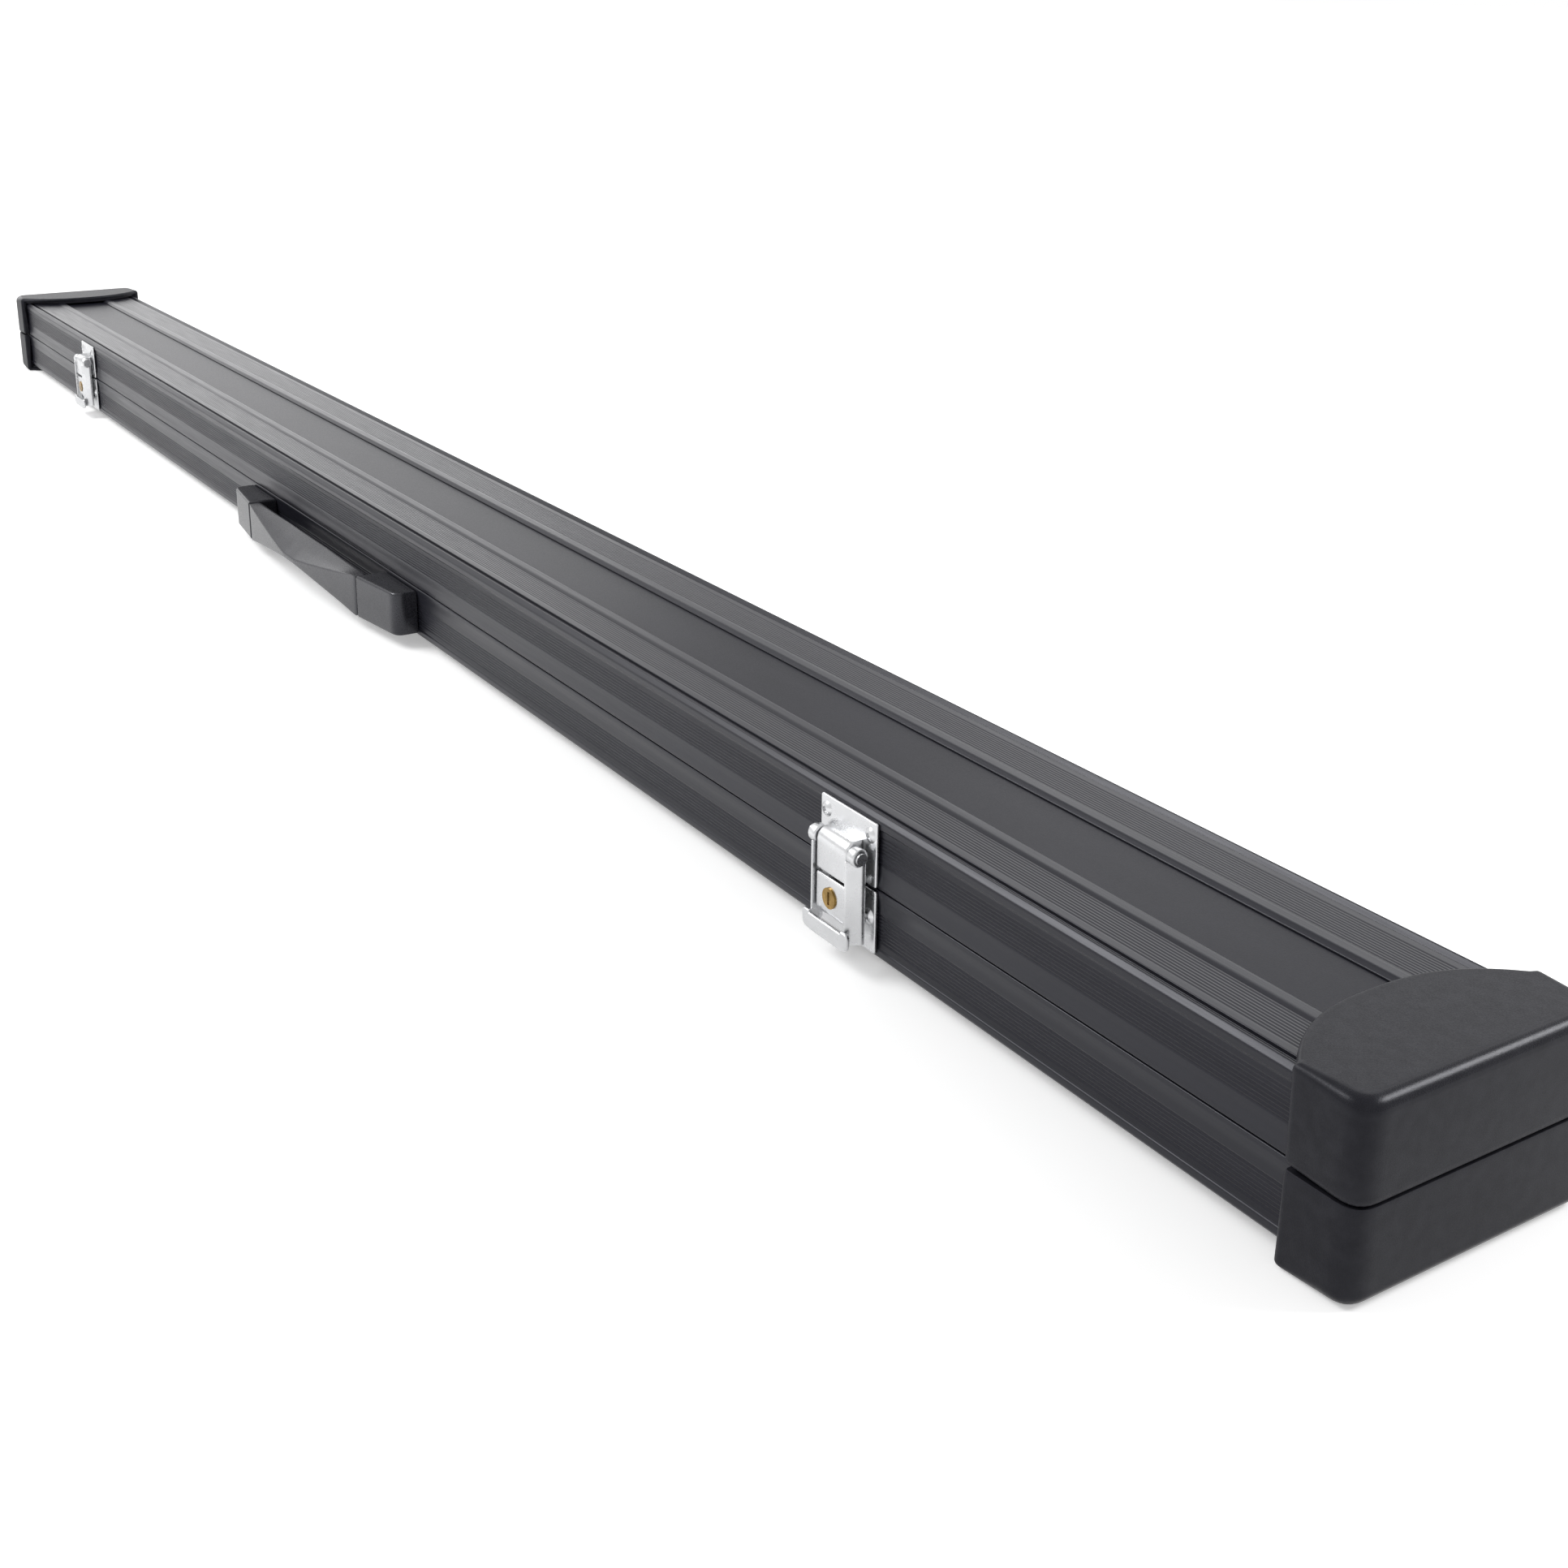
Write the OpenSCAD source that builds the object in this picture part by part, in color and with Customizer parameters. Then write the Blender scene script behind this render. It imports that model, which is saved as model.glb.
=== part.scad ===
// A cue case: a long clamshell of ribbed aluminium rails and smooth panels, closed by moulded
// end caps, with two draw-bail latches and a folding carry handle on its front.
// X runs along the case, the front with the latches faces -Y, and Z is up.
// The origin is under the middle of the whole object, on the plane that the caps rest on.

/* [Case] */
// Length over the end caps
case_length = 1240; // [1100:10:1400]
// Width of the rails, front face to rear face
body_width = 74; // [68:1:90]
// Height of the closed rails, bottom face to top face
body_height = 44; // [43:1:56]
// Gap between the lid rails and the base rails
seam_gap = 0.4; // [0.2:0.1:0.8]

/* [Rails] */
// Thickness of a rail's side wall
rail_wall = 1.8; // [1.6:0.1:2.2]
// Thickness of a rail's top or bottom flange
flange_thickness = 2.2; // [1.8:0.1:2.6]
// Width of a flange, outer face to the edge over the panel
flange_width = 24.6; // [22:0.2:27]
// Radius of the long outer corners
corner_radius = 2; // [1.6:0.1:3.2]
// Depth of the bands below the corner and the bead
band_recess = 0.4; // [0.2:0.1:0.6]
// Distance between two fine ribs
rib_pitch = 1.1; // [0.9:0.01:1.6]
// Depth of the valleys between the fine ribs
rib_depth = 0.3; // [0.2:0.05:0.45]
// Width of the groove beside the corner
groove_width = 1.3; // [0.6:0.1:1.8]
// Depth of the groove beside the corner
groove_depth = 1.1; // [0.6:0.1:1.3]
// Width of the plain strip between the groove and the flange ribs
plain_strip = 1.8; // [1:0.1:2.6]
// Width of the smooth bead along the panel
bead_width = 5.6; // [4.6:0.2:7]
// Rounding of the bead where it drops to the panel
bead_round = 0.7; // [0.4:0.1:1]
// Height of the smooth band between the corner and the side ribs
upper_band = 3.8; // [3:0.2:5]
// Height of the smooth band between the side ribs and the lip
lower_band = 4.8; // [4:0.2:6]
// Height of the lip's outer edge at the seam
lip_edge = 1.4; // [1:0.1:2]
// Width of the flat lip at the seam
lip_width = 5; // [4:0.1:6]
// Thickness of the flat lip at the seam
lip_thickness = 2; // [1.6:0.1:2.6]

/* [Panels] */
// Thickness of the top and bottom panels
panel_thickness = 1.8; // [1.5:0.1:2.4]
// Depth of the panel's edge in the rail's slot
panel_grip = 3.5; // [3:0.1:4.4]
// Thickness of the bead over the panel
panel_cover = 1.3; // [1.1:0.1:1.6]
// Thickness of the ledge under the panel
panel_ledge = 1.1; // [0.9:0.1:1.4]
// Thickness of the web behind the panel's slot
slot_web = 1.4; // [1:0.1:1.8]
// Room round the panel in its slot
panel_clearance = 0.1; // [0.05:0.05:0.2]

/* [End caps] */
// How far a cap stands out from the rails
cap_proud = 3.4; // [2.6:0.1:4.4]
// Length of a cap along the sides
cap_side_wrap = 21; // [16:0.5:26]
// Length of a cap's tongue on the top or bottom
cap_tongue_wrap = 35.5; // [32:0.5:38]
// Width of a cap's tongue at its root
cap_tongue_width = 73; // [60:1:73]
// How squarely the edge of a cap's tongue is bowed, where 2 is a parabola
cap_tongue_power = 2.6; // [2:0.1:4]
// Thickness of a cap's end wall
cap_end_wall = 3; // [2.6:0.1:4]
// Radius of a cap's upright corners
cap_corner_radius = 5; // [3:0.5:6]
// Radius of a cap's long edges
cap_edge_radius = 3.6; // [2:0.2:4.4]
// Gap between the lid caps and the base caps
cap_seam_gap = 1; // [0.6:0.1:1.6]
// Room between a cap and the rails
cap_clearance = 0.15; // [0.1:0.05:0.3]
// Height of the weather lip behind the seam of a cap's end wall
cap_lip_height = 1.4; // [1:0.1:2]
// Thickness of the weather lip
cap_lip_thickness = 1.1; // [0.8:0.1:1.3]
// Distance from the lip's ends to the rails' inner lips
room_at_hinge = 3; // [2:0.5:6]
// Room round the weather lip in the lid's cap
cap_lip_room = 0.4; // [0.3:0.1:0.6]

/* [Lining] */
// Thickness of the floor and lid pads
pad_thickness = 3; // [2:0.5:4]
// Thickness of the front and rear pads
side_pad_thickness = 3.5; // [3:0.5:5]
// Room behind the front and rear pads for rivet tails
side_pad_room = 3.6; // [3.6:0.1:4.4]
// Room round the pads
pad_clearance = 0.3; // [0.2:0.1:0.6]

/* [Hinges] */
// Distance from an end of the case to the middle of an outer hinge
hinge_inset = 190; // [140:5:320]
// Length of a hinge
hinge_length = 64; // [50:1:80]
// Knuckles of a hinge
knuckle_count = 5; // [3:2:7]
// Outer radius of a knuckle
knuckle_radius = 3; // [2.8:0.1:3.2]
// Radius of a hinge pin
hinge_pin_radius = 1.25; // [1:0.05:1.5]
// Thickness of a hinge leaf
leaf_thickness = 1.2; // [0.8:0.1:1.4]
// Height of a hinge leaf
leaf_height = 16; // [14:0.5:18]
// Distance from the hinge line to the cap's rear face
hinge_clearance = 0.2; // [0.2:0.05:0.5]
// Gap between two knuckles
knuckle_gap = 0.3; // [0.2:0.05:0.5]
// Length of the heads on the hinge and bail pins
pin_head = 0.7; // [0.5:0.1:1]
// Radius of the heads on the hinge and bail pins
pin_head_radius = 1.8; // [1.6:0.1:2.1]
// End play of the pins
pin_play = 0.2; // [0.1:0.05:0.3]
// Distance from a hinge's middle to an outer rivet
hinge_rivet_spacing = 22; // [16:1:24]
// Distance from the seam to the hinge rivets
hinge_rivet_drop = 10; // [9:0.5:12]
// Running clearance of pins, bails and key barrels
running_clearance = 0.06; // [0.03:0.01:0.09]

/* [Latches] */
// Distance from a case end to the middle of its latch
latch_inset = 192; // [120:1:240]
// Width of the latch plates
plate_width = 28; // [27.5:0.5:34]
// Thickness of the latch plates
plate_thickness = 1; // [0.8:0.1:1.4]
// Gap between a latch plate and the seam
plate_gap = 0.5; // [0.3:0.1:0.8]
// Width of the tab on the lid plate
tab_width = 7; // [5:0.5:8]
// Length of the tab on the lid plate
tab_length = 2.2; // [1.5:0.1:2.6]
// Room round the tab in the base plate
tab_clearance = 0.5; // [0.3:0.1:0.8]
// Width of the raised boxes
box_width = 15; // [14:0.5:15.5]
// How far the raised boxes stand out from the plates
box_depth = 6; // [5.6:0.1:7]
// Wall of the raised boxes
box_wall = 1; // [0.8:0.1:1.2]
// Height of the lid's raised box
flap_height = 13; // [12.6:0.2:13.4]
// Height of the slope on top of the lid's raised box
flap_slope = 2.2; // [1.5:0.1:2.6]
// Height of the lock box
lock_height = 13.4; // [13:0.2:14]
// Chamfer under the lock box
lock_chamfer = 1.4; // [1:0.1:2]
// Height of the bail's pivot over the seam
bail_pivot_height = 9.6; // [9:0.1:9.8]
// Distance from the plate to the bail's pivot
bail_pivot_depth = 3.6; // [3.5:0.1:3.8]
// Radius of the bail's pin
bail_pin_radius = 1; // [0.9:0.05:1.2]
// Radius of the bail's eyes
bail_eye_radius = 2.8; // [2.4:0.1:2.9]
// Width of a bail arm
bail_arm_width = 3.4; // [2.8:0.1:3.6]
// Distance from the plate to the back of a bail arm
bail_arm_back = 2; // [1.6:0.1:2.6]
// Depth of a bail arm
bail_arm_depth = 2.6; // [2.2:0.1:3]
// Distance from the seam down to the bend where the arms lean out to the bar
bail_bend_drop = 6; // [4:0.5:8]
// Thickness of the bail's lower bar
bail_bar_thickness = 1.4; // [1.2:0.1:1.8]
// Height of the bail's lower bar
bail_bar_height = 5.2; // [4.8:0.1:6]
// Room between the bail and the raised boxes
bail_clearance = 0.6; // [0.4:0.05:0.8]
// Outer corner radius of the bail
bail_corner_radius = 4.5; // [2:0.5:5]
// Inner corner radius of the bail
bail_window_radius = 2.5; // [1:0.25:3]
// Radius of the key barrel
barrel_radius = 3.2; // [3:0.1:3.6]
// How far the key barrel stands out from the lock box
barrel_proud = 0.5; // [0.3:0.1:0.8]
// Distance from the seam to the key barrel
barrel_drop = 6.6; // [6.5:0.1:7]
// Length of the locking cam, from the barrel's axis
cam_length = 4.6; // [4:0.1:4.7]
// Width of the locking cam
cam_width = 4.2; // [4:0.1:5]
// Thickness of the locking cam
cam_thickness = 1.2; // [1:0.1:1.4]
// Radius of the spigot that carries the cam
spigot_radius = 1.5; // [1.2:0.05:1.7]
// Gap between the base plate and the cam
cam_gap = 0.6; // [0.4:0.1:1]
// Width of the barrel's shoulder behind the lock box's wall
barrel_shoulder = 0.8; // [0.5:0.1:1]
// Width of the key slot
key_slot_width = 0.9; // [0.6:0.1:1.2]
// Height of the key slot
key_slot_height = 4; // [3:0.1:4.6]
// Depth of the key slot
key_slot_depth = 2; // [1:0.25:3]

/* [Rivets] */
// Radius of a rivet's shank
rivet_radius = 1.4; // [1.2:0.05:1.6]
// Radius of a rivet's head
rivet_head_radius = 2.4; // [2.2:0.1:2.6]
// Height of a rivet's head
rivet_head_height = 1; // [0.8:0.1:1.2]
// Thickness of a rivet's tail
rivet_tail = 0.8; // [0.5:0.1:1]
// Radius of a rivet's tail
rivet_tail_radius = 2; // [1.9:0.05:2.2]
// Radius of the eye in a rivet's head
rivet_eye_radius = 0.9; // [0.6:0.1:1.1]
// Depth of the eye in a rivet's head
rivet_eye_depth = 0.6; // [0.4:0.1:0.7]
// Room round a rivet or a screw in its hole
hole_clearance = 0.1; // [0.05:0.05:0.2]
// Distance from a latch's middle to its rivets
latch_rivet_spacing = 11; // [10.8:0.1:11.4]
// Height of the lid plate's rivets over the seam
lid_rivet_height = 15.8; // [15.6:0.1:16]
// Distance from the seam to the base plate's rivets
base_rivet_drop = 9; // [6:0.5:14]

/* [Handle] */
// Length of the handle over its brackets
handle_length = 212; // [180:2:240]
// Distance from the seam to the middle of the handle
handle_drop = 10.8; // [10.6:0.1:11]
// Length of a bracket along the case
bracket_length = 34; // [26:1:38]
// Height of the brackets
bracket_height = 18.6; // [17:0.2:19]
// How far the brackets stand out from the case
bracket_reach = 14; // [13.5:0.5:16]
// How far the outer end of a bracket stands out from the case
bracket_end_reach = 10; // [8:0.5:12]
// Radius of a bracket's outer corner
bracket_radius = 5; // [3:0.5:6]
// Height of the grip at its ends
grip_height = 18.6; // [16:0.2:19]
// Thickness of the grip
grip_thickness = 8.5; // [8:0.5:10]
// Distance from the case to the inner face of the grip's ends
grip_stand_off = 5.5; // [5:0.5:7]
// How far the grip's ridge bows out at its middle
grip_bow = 5.5; // [4:0.5:8]
// Length of the grip's ridge
grip_ridge = 12; // [6:2:40]
// How far the grip's inner face bows out at its middle
grip_inner_bow = 3; // [2:0.5:5]
// Length of the straight middle of the grip's inner face
grip_middle = 60; // [50:2:76]
// Length of the grip's straight ends
grip_end = 10; // [9.5:0.5:14]
// Height of the grip's front face at its middle
grip_front_height = 2; // [1:0.5:12]
// Chamfer along the grip's inner edges
grip_chamfer = 3.5; // [3:0.5:4]
// Gap between the grip and a bracket
grip_gap = 0.8; // [0.5:0.1:1.2]
// Distance from the case to the grip's pivot
grip_pivot = 10; // [9.9:0.1:10.3]
// Radius of the grip's pivot pins
grip_pin_radius = 1.8; // [1.6:0.1:2]
// Depth of a pivot pin in the grip and in its bracket
grip_pin_depth = 8; // [7:0.5:9]
// Distance between a bracket's two screws
screw_spacing = 10; // [9:0.5:11]
// Radius of a bracket screw
screw_radius = 1.6; // [1.3:0.1:1.8]
// Radius of a bracket screw's head
screw_head_radius = 2.6; // [2.4:0.1:2.8]
// Height of a bracket screw's head
screw_head_height = 1.4; // [1:0.1:1.6]
// Depth of a screw in its bracket
screw_depth = 8; // [6:0.5:8.5]

/* [Hidden] */
$fn = 48;
corner_steps = 8;
tongue_steps = 16;

// Small overrun of a cutting solid past the face that it opens
overrun = 1;
// Steps of a drawn quarter circle in a rail's section
arc_steps = 6;

// Heights, from the plane that the caps rest on
total_height = body_height + 2 * cap_proud;
seam_z = total_height / 2;
body_bottom = cap_proud;
body_top = cap_proud + body_height;

// Reach of the handle and the hinges past the rails, which sets the origin in Y
grip_outer = grip_stand_off + grip_thickness + grip_bow;
hinge_offset = cap_proud + hinge_clearance;
front_reach = max(bracket_reach, grip_outer);
rear_reach = hinge_offset + knuckle_radius;
body_y = (front_reach - rear_reach) / 2;
front_y = body_y - body_width / 2;
rear_y = body_y + body_width / 2;

// Lengths along X
half_length = case_length / 2;
rail_half_length = half_length - cap_end_wall - cap_clearance;
latch_x = half_length - latch_inset;
hinge_spacing = half_length - hinge_inset;
bracket_x = handle_length / 2 - bracket_length / 2;
grip_half_length = handle_length / 2 - bracket_length - grip_gap;

// Rail section, as distances in from the outer face and away from the top or bottom face
half_height = (body_height - seam_gap) / 2;
groove_start = corner_radius + band_recess;
groove_end = groove_start + groove_width + groove_depth;
bead_start = flange_width - bead_width;
flange_rib_count = floor((bead_start - groove_end - plain_strip) / rib_pitch);
flange_rib_start = bead_start - flange_rib_count * rib_pitch;
side_rib_start = corner_radius + upper_band;
side_rib_room = half_height - lip_edge - lower_band - side_rib_start;
side_rib_count = floor(side_rib_room / rib_pitch);
slot_end = flange_width - panel_grip - panel_clearance;
slot_height = panel_thickness + 2 * panel_clearance;
ledge_depth = panel_cover + slot_height + panel_ledge;

// Latch sizes, as heights over the seam and distances out from the front face
plate_height = half_height + seam_gap / 2 - corner_radius - plate_gap;
box_front = plate_thickness + box_depth;
bail_pivot_y = plate_thickness + bail_pivot_depth;
cam_back = plate_thickness + cam_gap;
cam_front = cam_back + cam_thickness;
bail_inner = box_width / 2 + bail_clearance;
bail_outer = bail_inner + bail_arm_width;
bail_window_floor = -lock_height - bail_clearance;
bail_bottom = bail_window_floor - bail_bar_height;

// Pads start where the panel ledges end
pad_base = ledge_depth;
side_pad_end = side_pad_room + side_pad_thickness;
pad_half_length = rail_half_length - pad_clearance;
side_pad_low = body_bottom + pad_base + pad_thickness + pad_clearance;
side_pad_high = body_bottom + half_height - lip_thickness - pad_clearance;

near = 1;
far = -1;
hinge_rivet_rows = [for (hinge = [-1:1], place = [-1:1]) hinge * hinge_spacing + place * hinge_rivet_spacing];
latch_rivet_rows = [for (end = [far, near], side = [-1, 1]) end * latch_x + side * latch_rivet_spacing];
screw_rows = [for (end = [far, near], row = [-1, 1]) [end * bracket_x, row * screw_spacing / 2]];

// Points of a row of V-shaped ribs: each rib runs from a crest to the valley after it
function rib_row(start, count) = [
    for (i = [0:count - 1], valley = [0, 1])
        [start + (i + valley / 2) * rib_pitch, band_recess + valley * rib_depth]
];

function swapped(points) = [for (i = [len(points) - 1:-1:0]) [points[i][1], points[i][0]]];

// Section of one rail: up its side from the seam, round the corner, along the flange to the
// panel's slot, and back along the inside to the lip
function rail_section() = concat(
    [[0, half_height], [0, half_height - lip_edge]],
    [[band_recess, half_height - lip_edge - band_recess]],
    [[band_recess, side_rib_start + side_rib_count * rib_pitch]],
    swapped(rib_row(side_rib_start, side_rib_count)),
    [[band_recess, corner_radius + band_recess]],
    [for (i = [0:arc_steps]) corner_radius * [1 - cos(90 * i / arc_steps), 1 - sin(90 * i / arc_steps)]],
    [[groove_start, 0], [groove_start + groove_depth / 2, groove_depth]],
    [[groove_start + groove_depth / 2 + groove_width, groove_depth], [groove_end, band_recess]],
    rib_row(flange_rib_start, flange_rib_count),
    [[bead_start, band_recess], [bead_start + band_recess, 0]],
    [[flange_width - bead_round, 0], [flange_width, bead_round], [flange_width, panel_cover]],
    [[slot_end, panel_cover], [slot_end, panel_cover + slot_height]],
    [[flange_width, panel_cover + slot_height], [flange_width, ledge_depth]],
    [[slot_end - slot_web, ledge_depth], [slot_end - slot_web, flange_thickness]],
    [[rail_wall, flange_thickness], [rail_wall, half_height - lip_thickness]],
    [[lip_width, half_height - lip_thickness], [lip_width, half_height]]
);

// Extrudes a section drawn in Y and Z along X, centred on the middle of the case
module along_x(length) {
    rotate([90, 0, 90])
        linear_extrude(length, center = true)
            children();
}

// A hole or a shank along Y, from its start towards the rear
module along_y(x, y, z, radius, length) {
    translate([x, y, z])
        rotate([-90, 0, 0])
            cylinder(r = radius, h = length);
}

// A rail: side is 1 at the front and -1 at the rear, up is 1 in the lid and -1 in the base
module rail(side, up) {
    outer_y = side > 0 ? front_y : rear_y;
    outer_z = up > 0 ? body_top : body_bottom;
    along_x(2 * rail_half_length)
        polygon([for (p = rail_section()) [outer_y + side * p[0], outer_z - up * p[1]]]);
}

// The holes that rivets and screws take through a rail's side wall
module wall_holes(rows, z, outer_y, radius) {
    for (x = rows)
        along_y(x, outer_y - rail_wall - overrun, z, radius + hole_clearance, 2 * (rail_wall + overrun));
}

module base_front_rail() {
    color("#2b2c2f")
        difference() {
            rail(1, -1);
            wall_holes(latch_rivet_rows, seam_z - base_rivet_drop, front_y, rivet_radius);
            for (screw = screw_rows)
                wall_holes([screw[0]], seam_z - handle_drop + screw[1], front_y, screw_radius);
        }
}

module base_rear_rail() {
    color("#2b2c2f")
        difference() {
            rail(-1, -1);
            wall_holes(hinge_rivet_rows, seam_z - hinge_rivet_drop, rear_y, rivet_radius);
        }
}

module lid_front_rail() {
    color("#2b2c2f")
        difference() {
            rail(1, 1);
            wall_holes(latch_rivet_rows, seam_z + lid_rivet_height, front_y, rivet_radius);
        }
}

module lid_rear_rail() {
    color("#2b2c2f")
        difference() {
            rail(-1, 1);
            wall_holes(hinge_rivet_rows, seam_z + hinge_rivet_drop, rear_y, rivet_radius);
        }
}

// Mirrors what is drawn for the lid into the base
module in_base() {
    translate([0, 0, 2 * seam_z])
        mirror([0, 0, 1])
            children();
}

// A smooth sheet whose long edges sit in the slots of two rails
module panel() {
    width = body_width - 2 * (flange_width - panel_grip);
    color("#37383b")
        translate([-rail_half_length, body_y - width / 2, body_top - panel_cover - panel_clearance - panel_thickness])
            cube([2 * rail_half_length, width, panel_thickness]);
}

// A rectangle with rounded corners, centred
module rounded_box(width, height, radius) {
    square([width - 2 * radius, height], center = true);
    square([width, height - 2 * radius], center = true);
    for (x = [-1, 1], y = [-1, 1])
        translate([x * (width / 2 - radius), y * (height / 2 - radius)])
            circle(radius);
}

// A rectangle that runs along its length from the origin and has its two far corners rounded
module rounded_end(length, width, radius) {
    translate([0, -width / 2])
        square([length - radius, width]);
    translate([0, radius - width / 2])
        square([length, width - 2 * radius]);
    for (side = [-1, 1])
        translate([length - radius, side * (width / 2 - radius)])
            circle(radius);
}

// Outline of a cap seen from above: rounded outer corners, and a bowed tongue on the case
module cap_plan() {
    root = half_length - cap_side_wrap;
    reach = cap_tongue_wrap - cap_side_wrap + overrun;
    tongue = [
        for (step = [-tongue_steps:tongue_steps])
            let (share = step / tongue_steps)
                [overrun - reach * (1 - pow(abs(share), cap_tongue_power)), share * cap_tongue_width / 2]
    ];
    translate([root, body_y]) {
        rounded_end(cap_side_wrap, body_width + 2 * cap_proud, cap_corner_radius);
        polygon(concat(tongue, [
            [cap_corner_radius, cap_tongue_width / 2],
            [cap_corner_radius, -cap_tongue_width / 2]
        ]));
    }
}

// The near end's two caps as one hollow block, before the seam parts them
module cap_block() {
    difference() {
        intersection() {
            linear_extrude(total_height)
                cap_plan();
            along_x(case_length + overrun)
                translate([body_y, seam_z])
                    rounded_box(body_width + 2 * cap_proud, total_height, cap_edge_radius);
            translate([0, body_y, seam_z])
                rotate([90, 0, 0])
                    linear_extrude(2 * body_width, center = true)
                        rounded_box(case_length, total_height, cap_edge_radius);
        }
        along_x(case_length - 2 * cap_end_wall)
            translate([body_y, seam_z])
                rounded_box(
                    body_width + 2 * cap_clearance,
                    body_height + 2 * cap_clearance,
                    corner_radius + cap_clearance
                );
    }
}

// Fills the panel's recess under a lid cap's tongue, a little behind the tongue's edge
module tongue_filler() {
    width = body_width - 2 * (flange_width + panel_clearance);
    length = cap_tongue_wrap - cap_end_wall - cap_edge_radius / 2;
    translate([half_length - cap_end_wall - length, body_y - width / 2, body_top - panel_cover])
        cube([length, width, panel_cover + cap_clearance]);
}

// The low wall on a base cap that closes the seam behind the end wall, with room round it
module weather_lip(room) {
    length = body_width - 2 * (lip_width + room_at_hinge) + 2 * room;
    translate([half_length - cap_end_wall - room, body_y - length / 2, seam_z - cap_lip_height])
        cube([cap_lip_thickness + 2 * room, length, 2 * cap_lip_height + room]);
}

// What is above the seam of the caps
module over_seam() {
    intersection() {
        children();
        translate([0, body_y - body_width, seam_z + cap_seam_gap / 2])
            cube([case_length, 2 * body_width, total_height]);
    }
}

module lid_near_cap() {
    color("#232427")
        difference() {
            union() {
                over_seam()
                    cap_block();
                tongue_filler();
            }
            weather_lip(cap_lip_room);
        }
}

module base_near_cap() {
    color("#232427") {
        in_base() {
            over_seam()
                cap_block();
            tongue_filler();
        }
        weather_lip(0);
    }
}

module at_far_end() {
    mirror([1, 0, 0])
        children();
}

// A pad of lining: from its front edge to its rear edge, and between two heights
module pad(front, rear, low, high) {
    color("#3a3a3c")
        translate([-pad_half_length, front, low])
            cube([2 * pad_half_length, rear - front, high - low]);
}

module base_floor_lining() {
    low = body_bottom + pad_base;
    pad(front_y + side_pad_room, rear_y - side_pad_room, low, low + pad_thickness);
}

module lid_lining() {
    high = body_top - pad_base;
    pad(front_y + side_pad_room, rear_y - side_pad_room, high - pad_thickness, high);
}

module base_front_lining() {
    pad(front_y + side_pad_room, front_y + side_pad_end, side_pad_low, side_pad_high);
}

module base_rear_lining() {
    pad(rear_y - side_pad_end, rear_y - side_pad_room, side_pad_low, side_pad_high);
}

// Draws at a hinge's middle, on the rear face at the height of the seam
module at_hinge(place) {
    translate([place * hinge_spacing, rear_y, seam_z])
        children();
}

// A cylinder along X round the hinge line
module hinge_cylinder(start, length, radius) {
    translate([start, hinge_offset, 0])
        rotate([0, 90, 0])
            cylinder(r = radius, h = length);
}

// A leaf of a hinge, rising from the seam. It takes every second knuckle, from the first given
module hinge_leaf(place, first) {
    pitch = hinge_length / knuckle_count;
    notch = knuckle_radius + knuckle_gap;
    module knuckles() {
        for (i = [first:2:knuckle_count - 1])
            hinge_cylinder(i * pitch - (hinge_length - knuckle_gap) / 2, pitch - knuckle_gap, knuckle_radius);
    }
    module notches() {
        for (i = [1 - first:2:knuckle_count - 1])
            translate([i * pitch - (hinge_length + knuckle_gap) / 2, -overrun, -notch])
                cube([pitch + knuckle_gap, hinge_offset + notch + overrun, 2 * notch]);
    }
    color("#b9babd")
        at_hinge(place)
            difference() {
                union() {
                    translate([-hinge_length / 2, 0, knuckle_gap])
                        cube([hinge_length, leaf_thickness, leaf_height - knuckle_gap]);
                    knuckles();
                }
                notches();
                hinge_cylinder(-hinge_length, 2 * hinge_length, hinge_pin_radius + running_clearance);
                for (side = [-1:1])
                    along_y(side * hinge_rivet_spacing, -overrun, hinge_rivet_drop,
                        rivet_radius + hole_clearance, leaf_thickness + 2 * overrun);
            }
}

module hinge_base_leaf(place) {
    in_base()
        hinge_leaf(place, 0);
}

module hinge_lid_leaf(place) {
    hinge_leaf(place, 1);
}

module hinge_pin(place) {
    color("#c9c9cc")
        at_hinge(place) {
            hinge_cylinder(-hinge_length / 2 - pin_head, hinge_length + 2 * pin_head, hinge_pin_radius);
            for (end = [-1, 1])
                hinge_cylinder(end * (hinge_length + pin_head) / 2 - pin_head / 2, pin_head, pin_head_radius);
        }
}

// A tubular rivet along +Z: a domed head on the plane z = 0, and its tail behind the parts it holds
module rivet(stack) {
    dome_radius = (pow(rivet_head_radius, 2) + pow(rivet_head_height, 2)) / (2 * rivet_head_height);
    difference() {
        union() {
            intersection() {
                translate([0, 0, rivet_head_height - dome_radius])
                    sphere(dome_radius);
                cylinder(r = rivet_head_radius, h = rivet_head_height);
            }
            translate([0, 0, -stack])
                cylinder(r = rivet_radius, h = stack);
            translate([0, 0, -stack - rivet_tail])
                cylinder(r = rivet_tail_radius, h = rivet_tail);
        }
        translate([0, 0, rivet_head_height - rivet_eye_depth])
            cylinder(r = rivet_eye_radius, h = rivet_eye_depth + overrun);
    }
}

module hinge_rivets(z) {
    color("#c9c9cc")
        for (x = hinge_rivet_rows)
            translate([x, rear_y + leaf_thickness, z])
                rotate([-90, 0, 0])
                    rivet(leaf_thickness + rail_wall);
}

module latch_rivets(z) {
    color("#d4d5d8")
        for (x = latch_rivet_rows)
            translate([x, front_y - plate_thickness, z])
                rotate([90, 0, 0])
                    rivet(plate_thickness + rail_wall);
}

// Draws at a latch's middle, on the front face at the height of the seam
module at_latch(end) {
    translate([end * latch_x, front_y, seam_z])
        children();
}

// Extrudes a side view, drawn as distance out from the front face and height, across a width
module side_view(width) {
    rotate([90, 0, 90])
        linear_extrude(width, center = true)
            mirror([1, 0])
                children();
}

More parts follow.
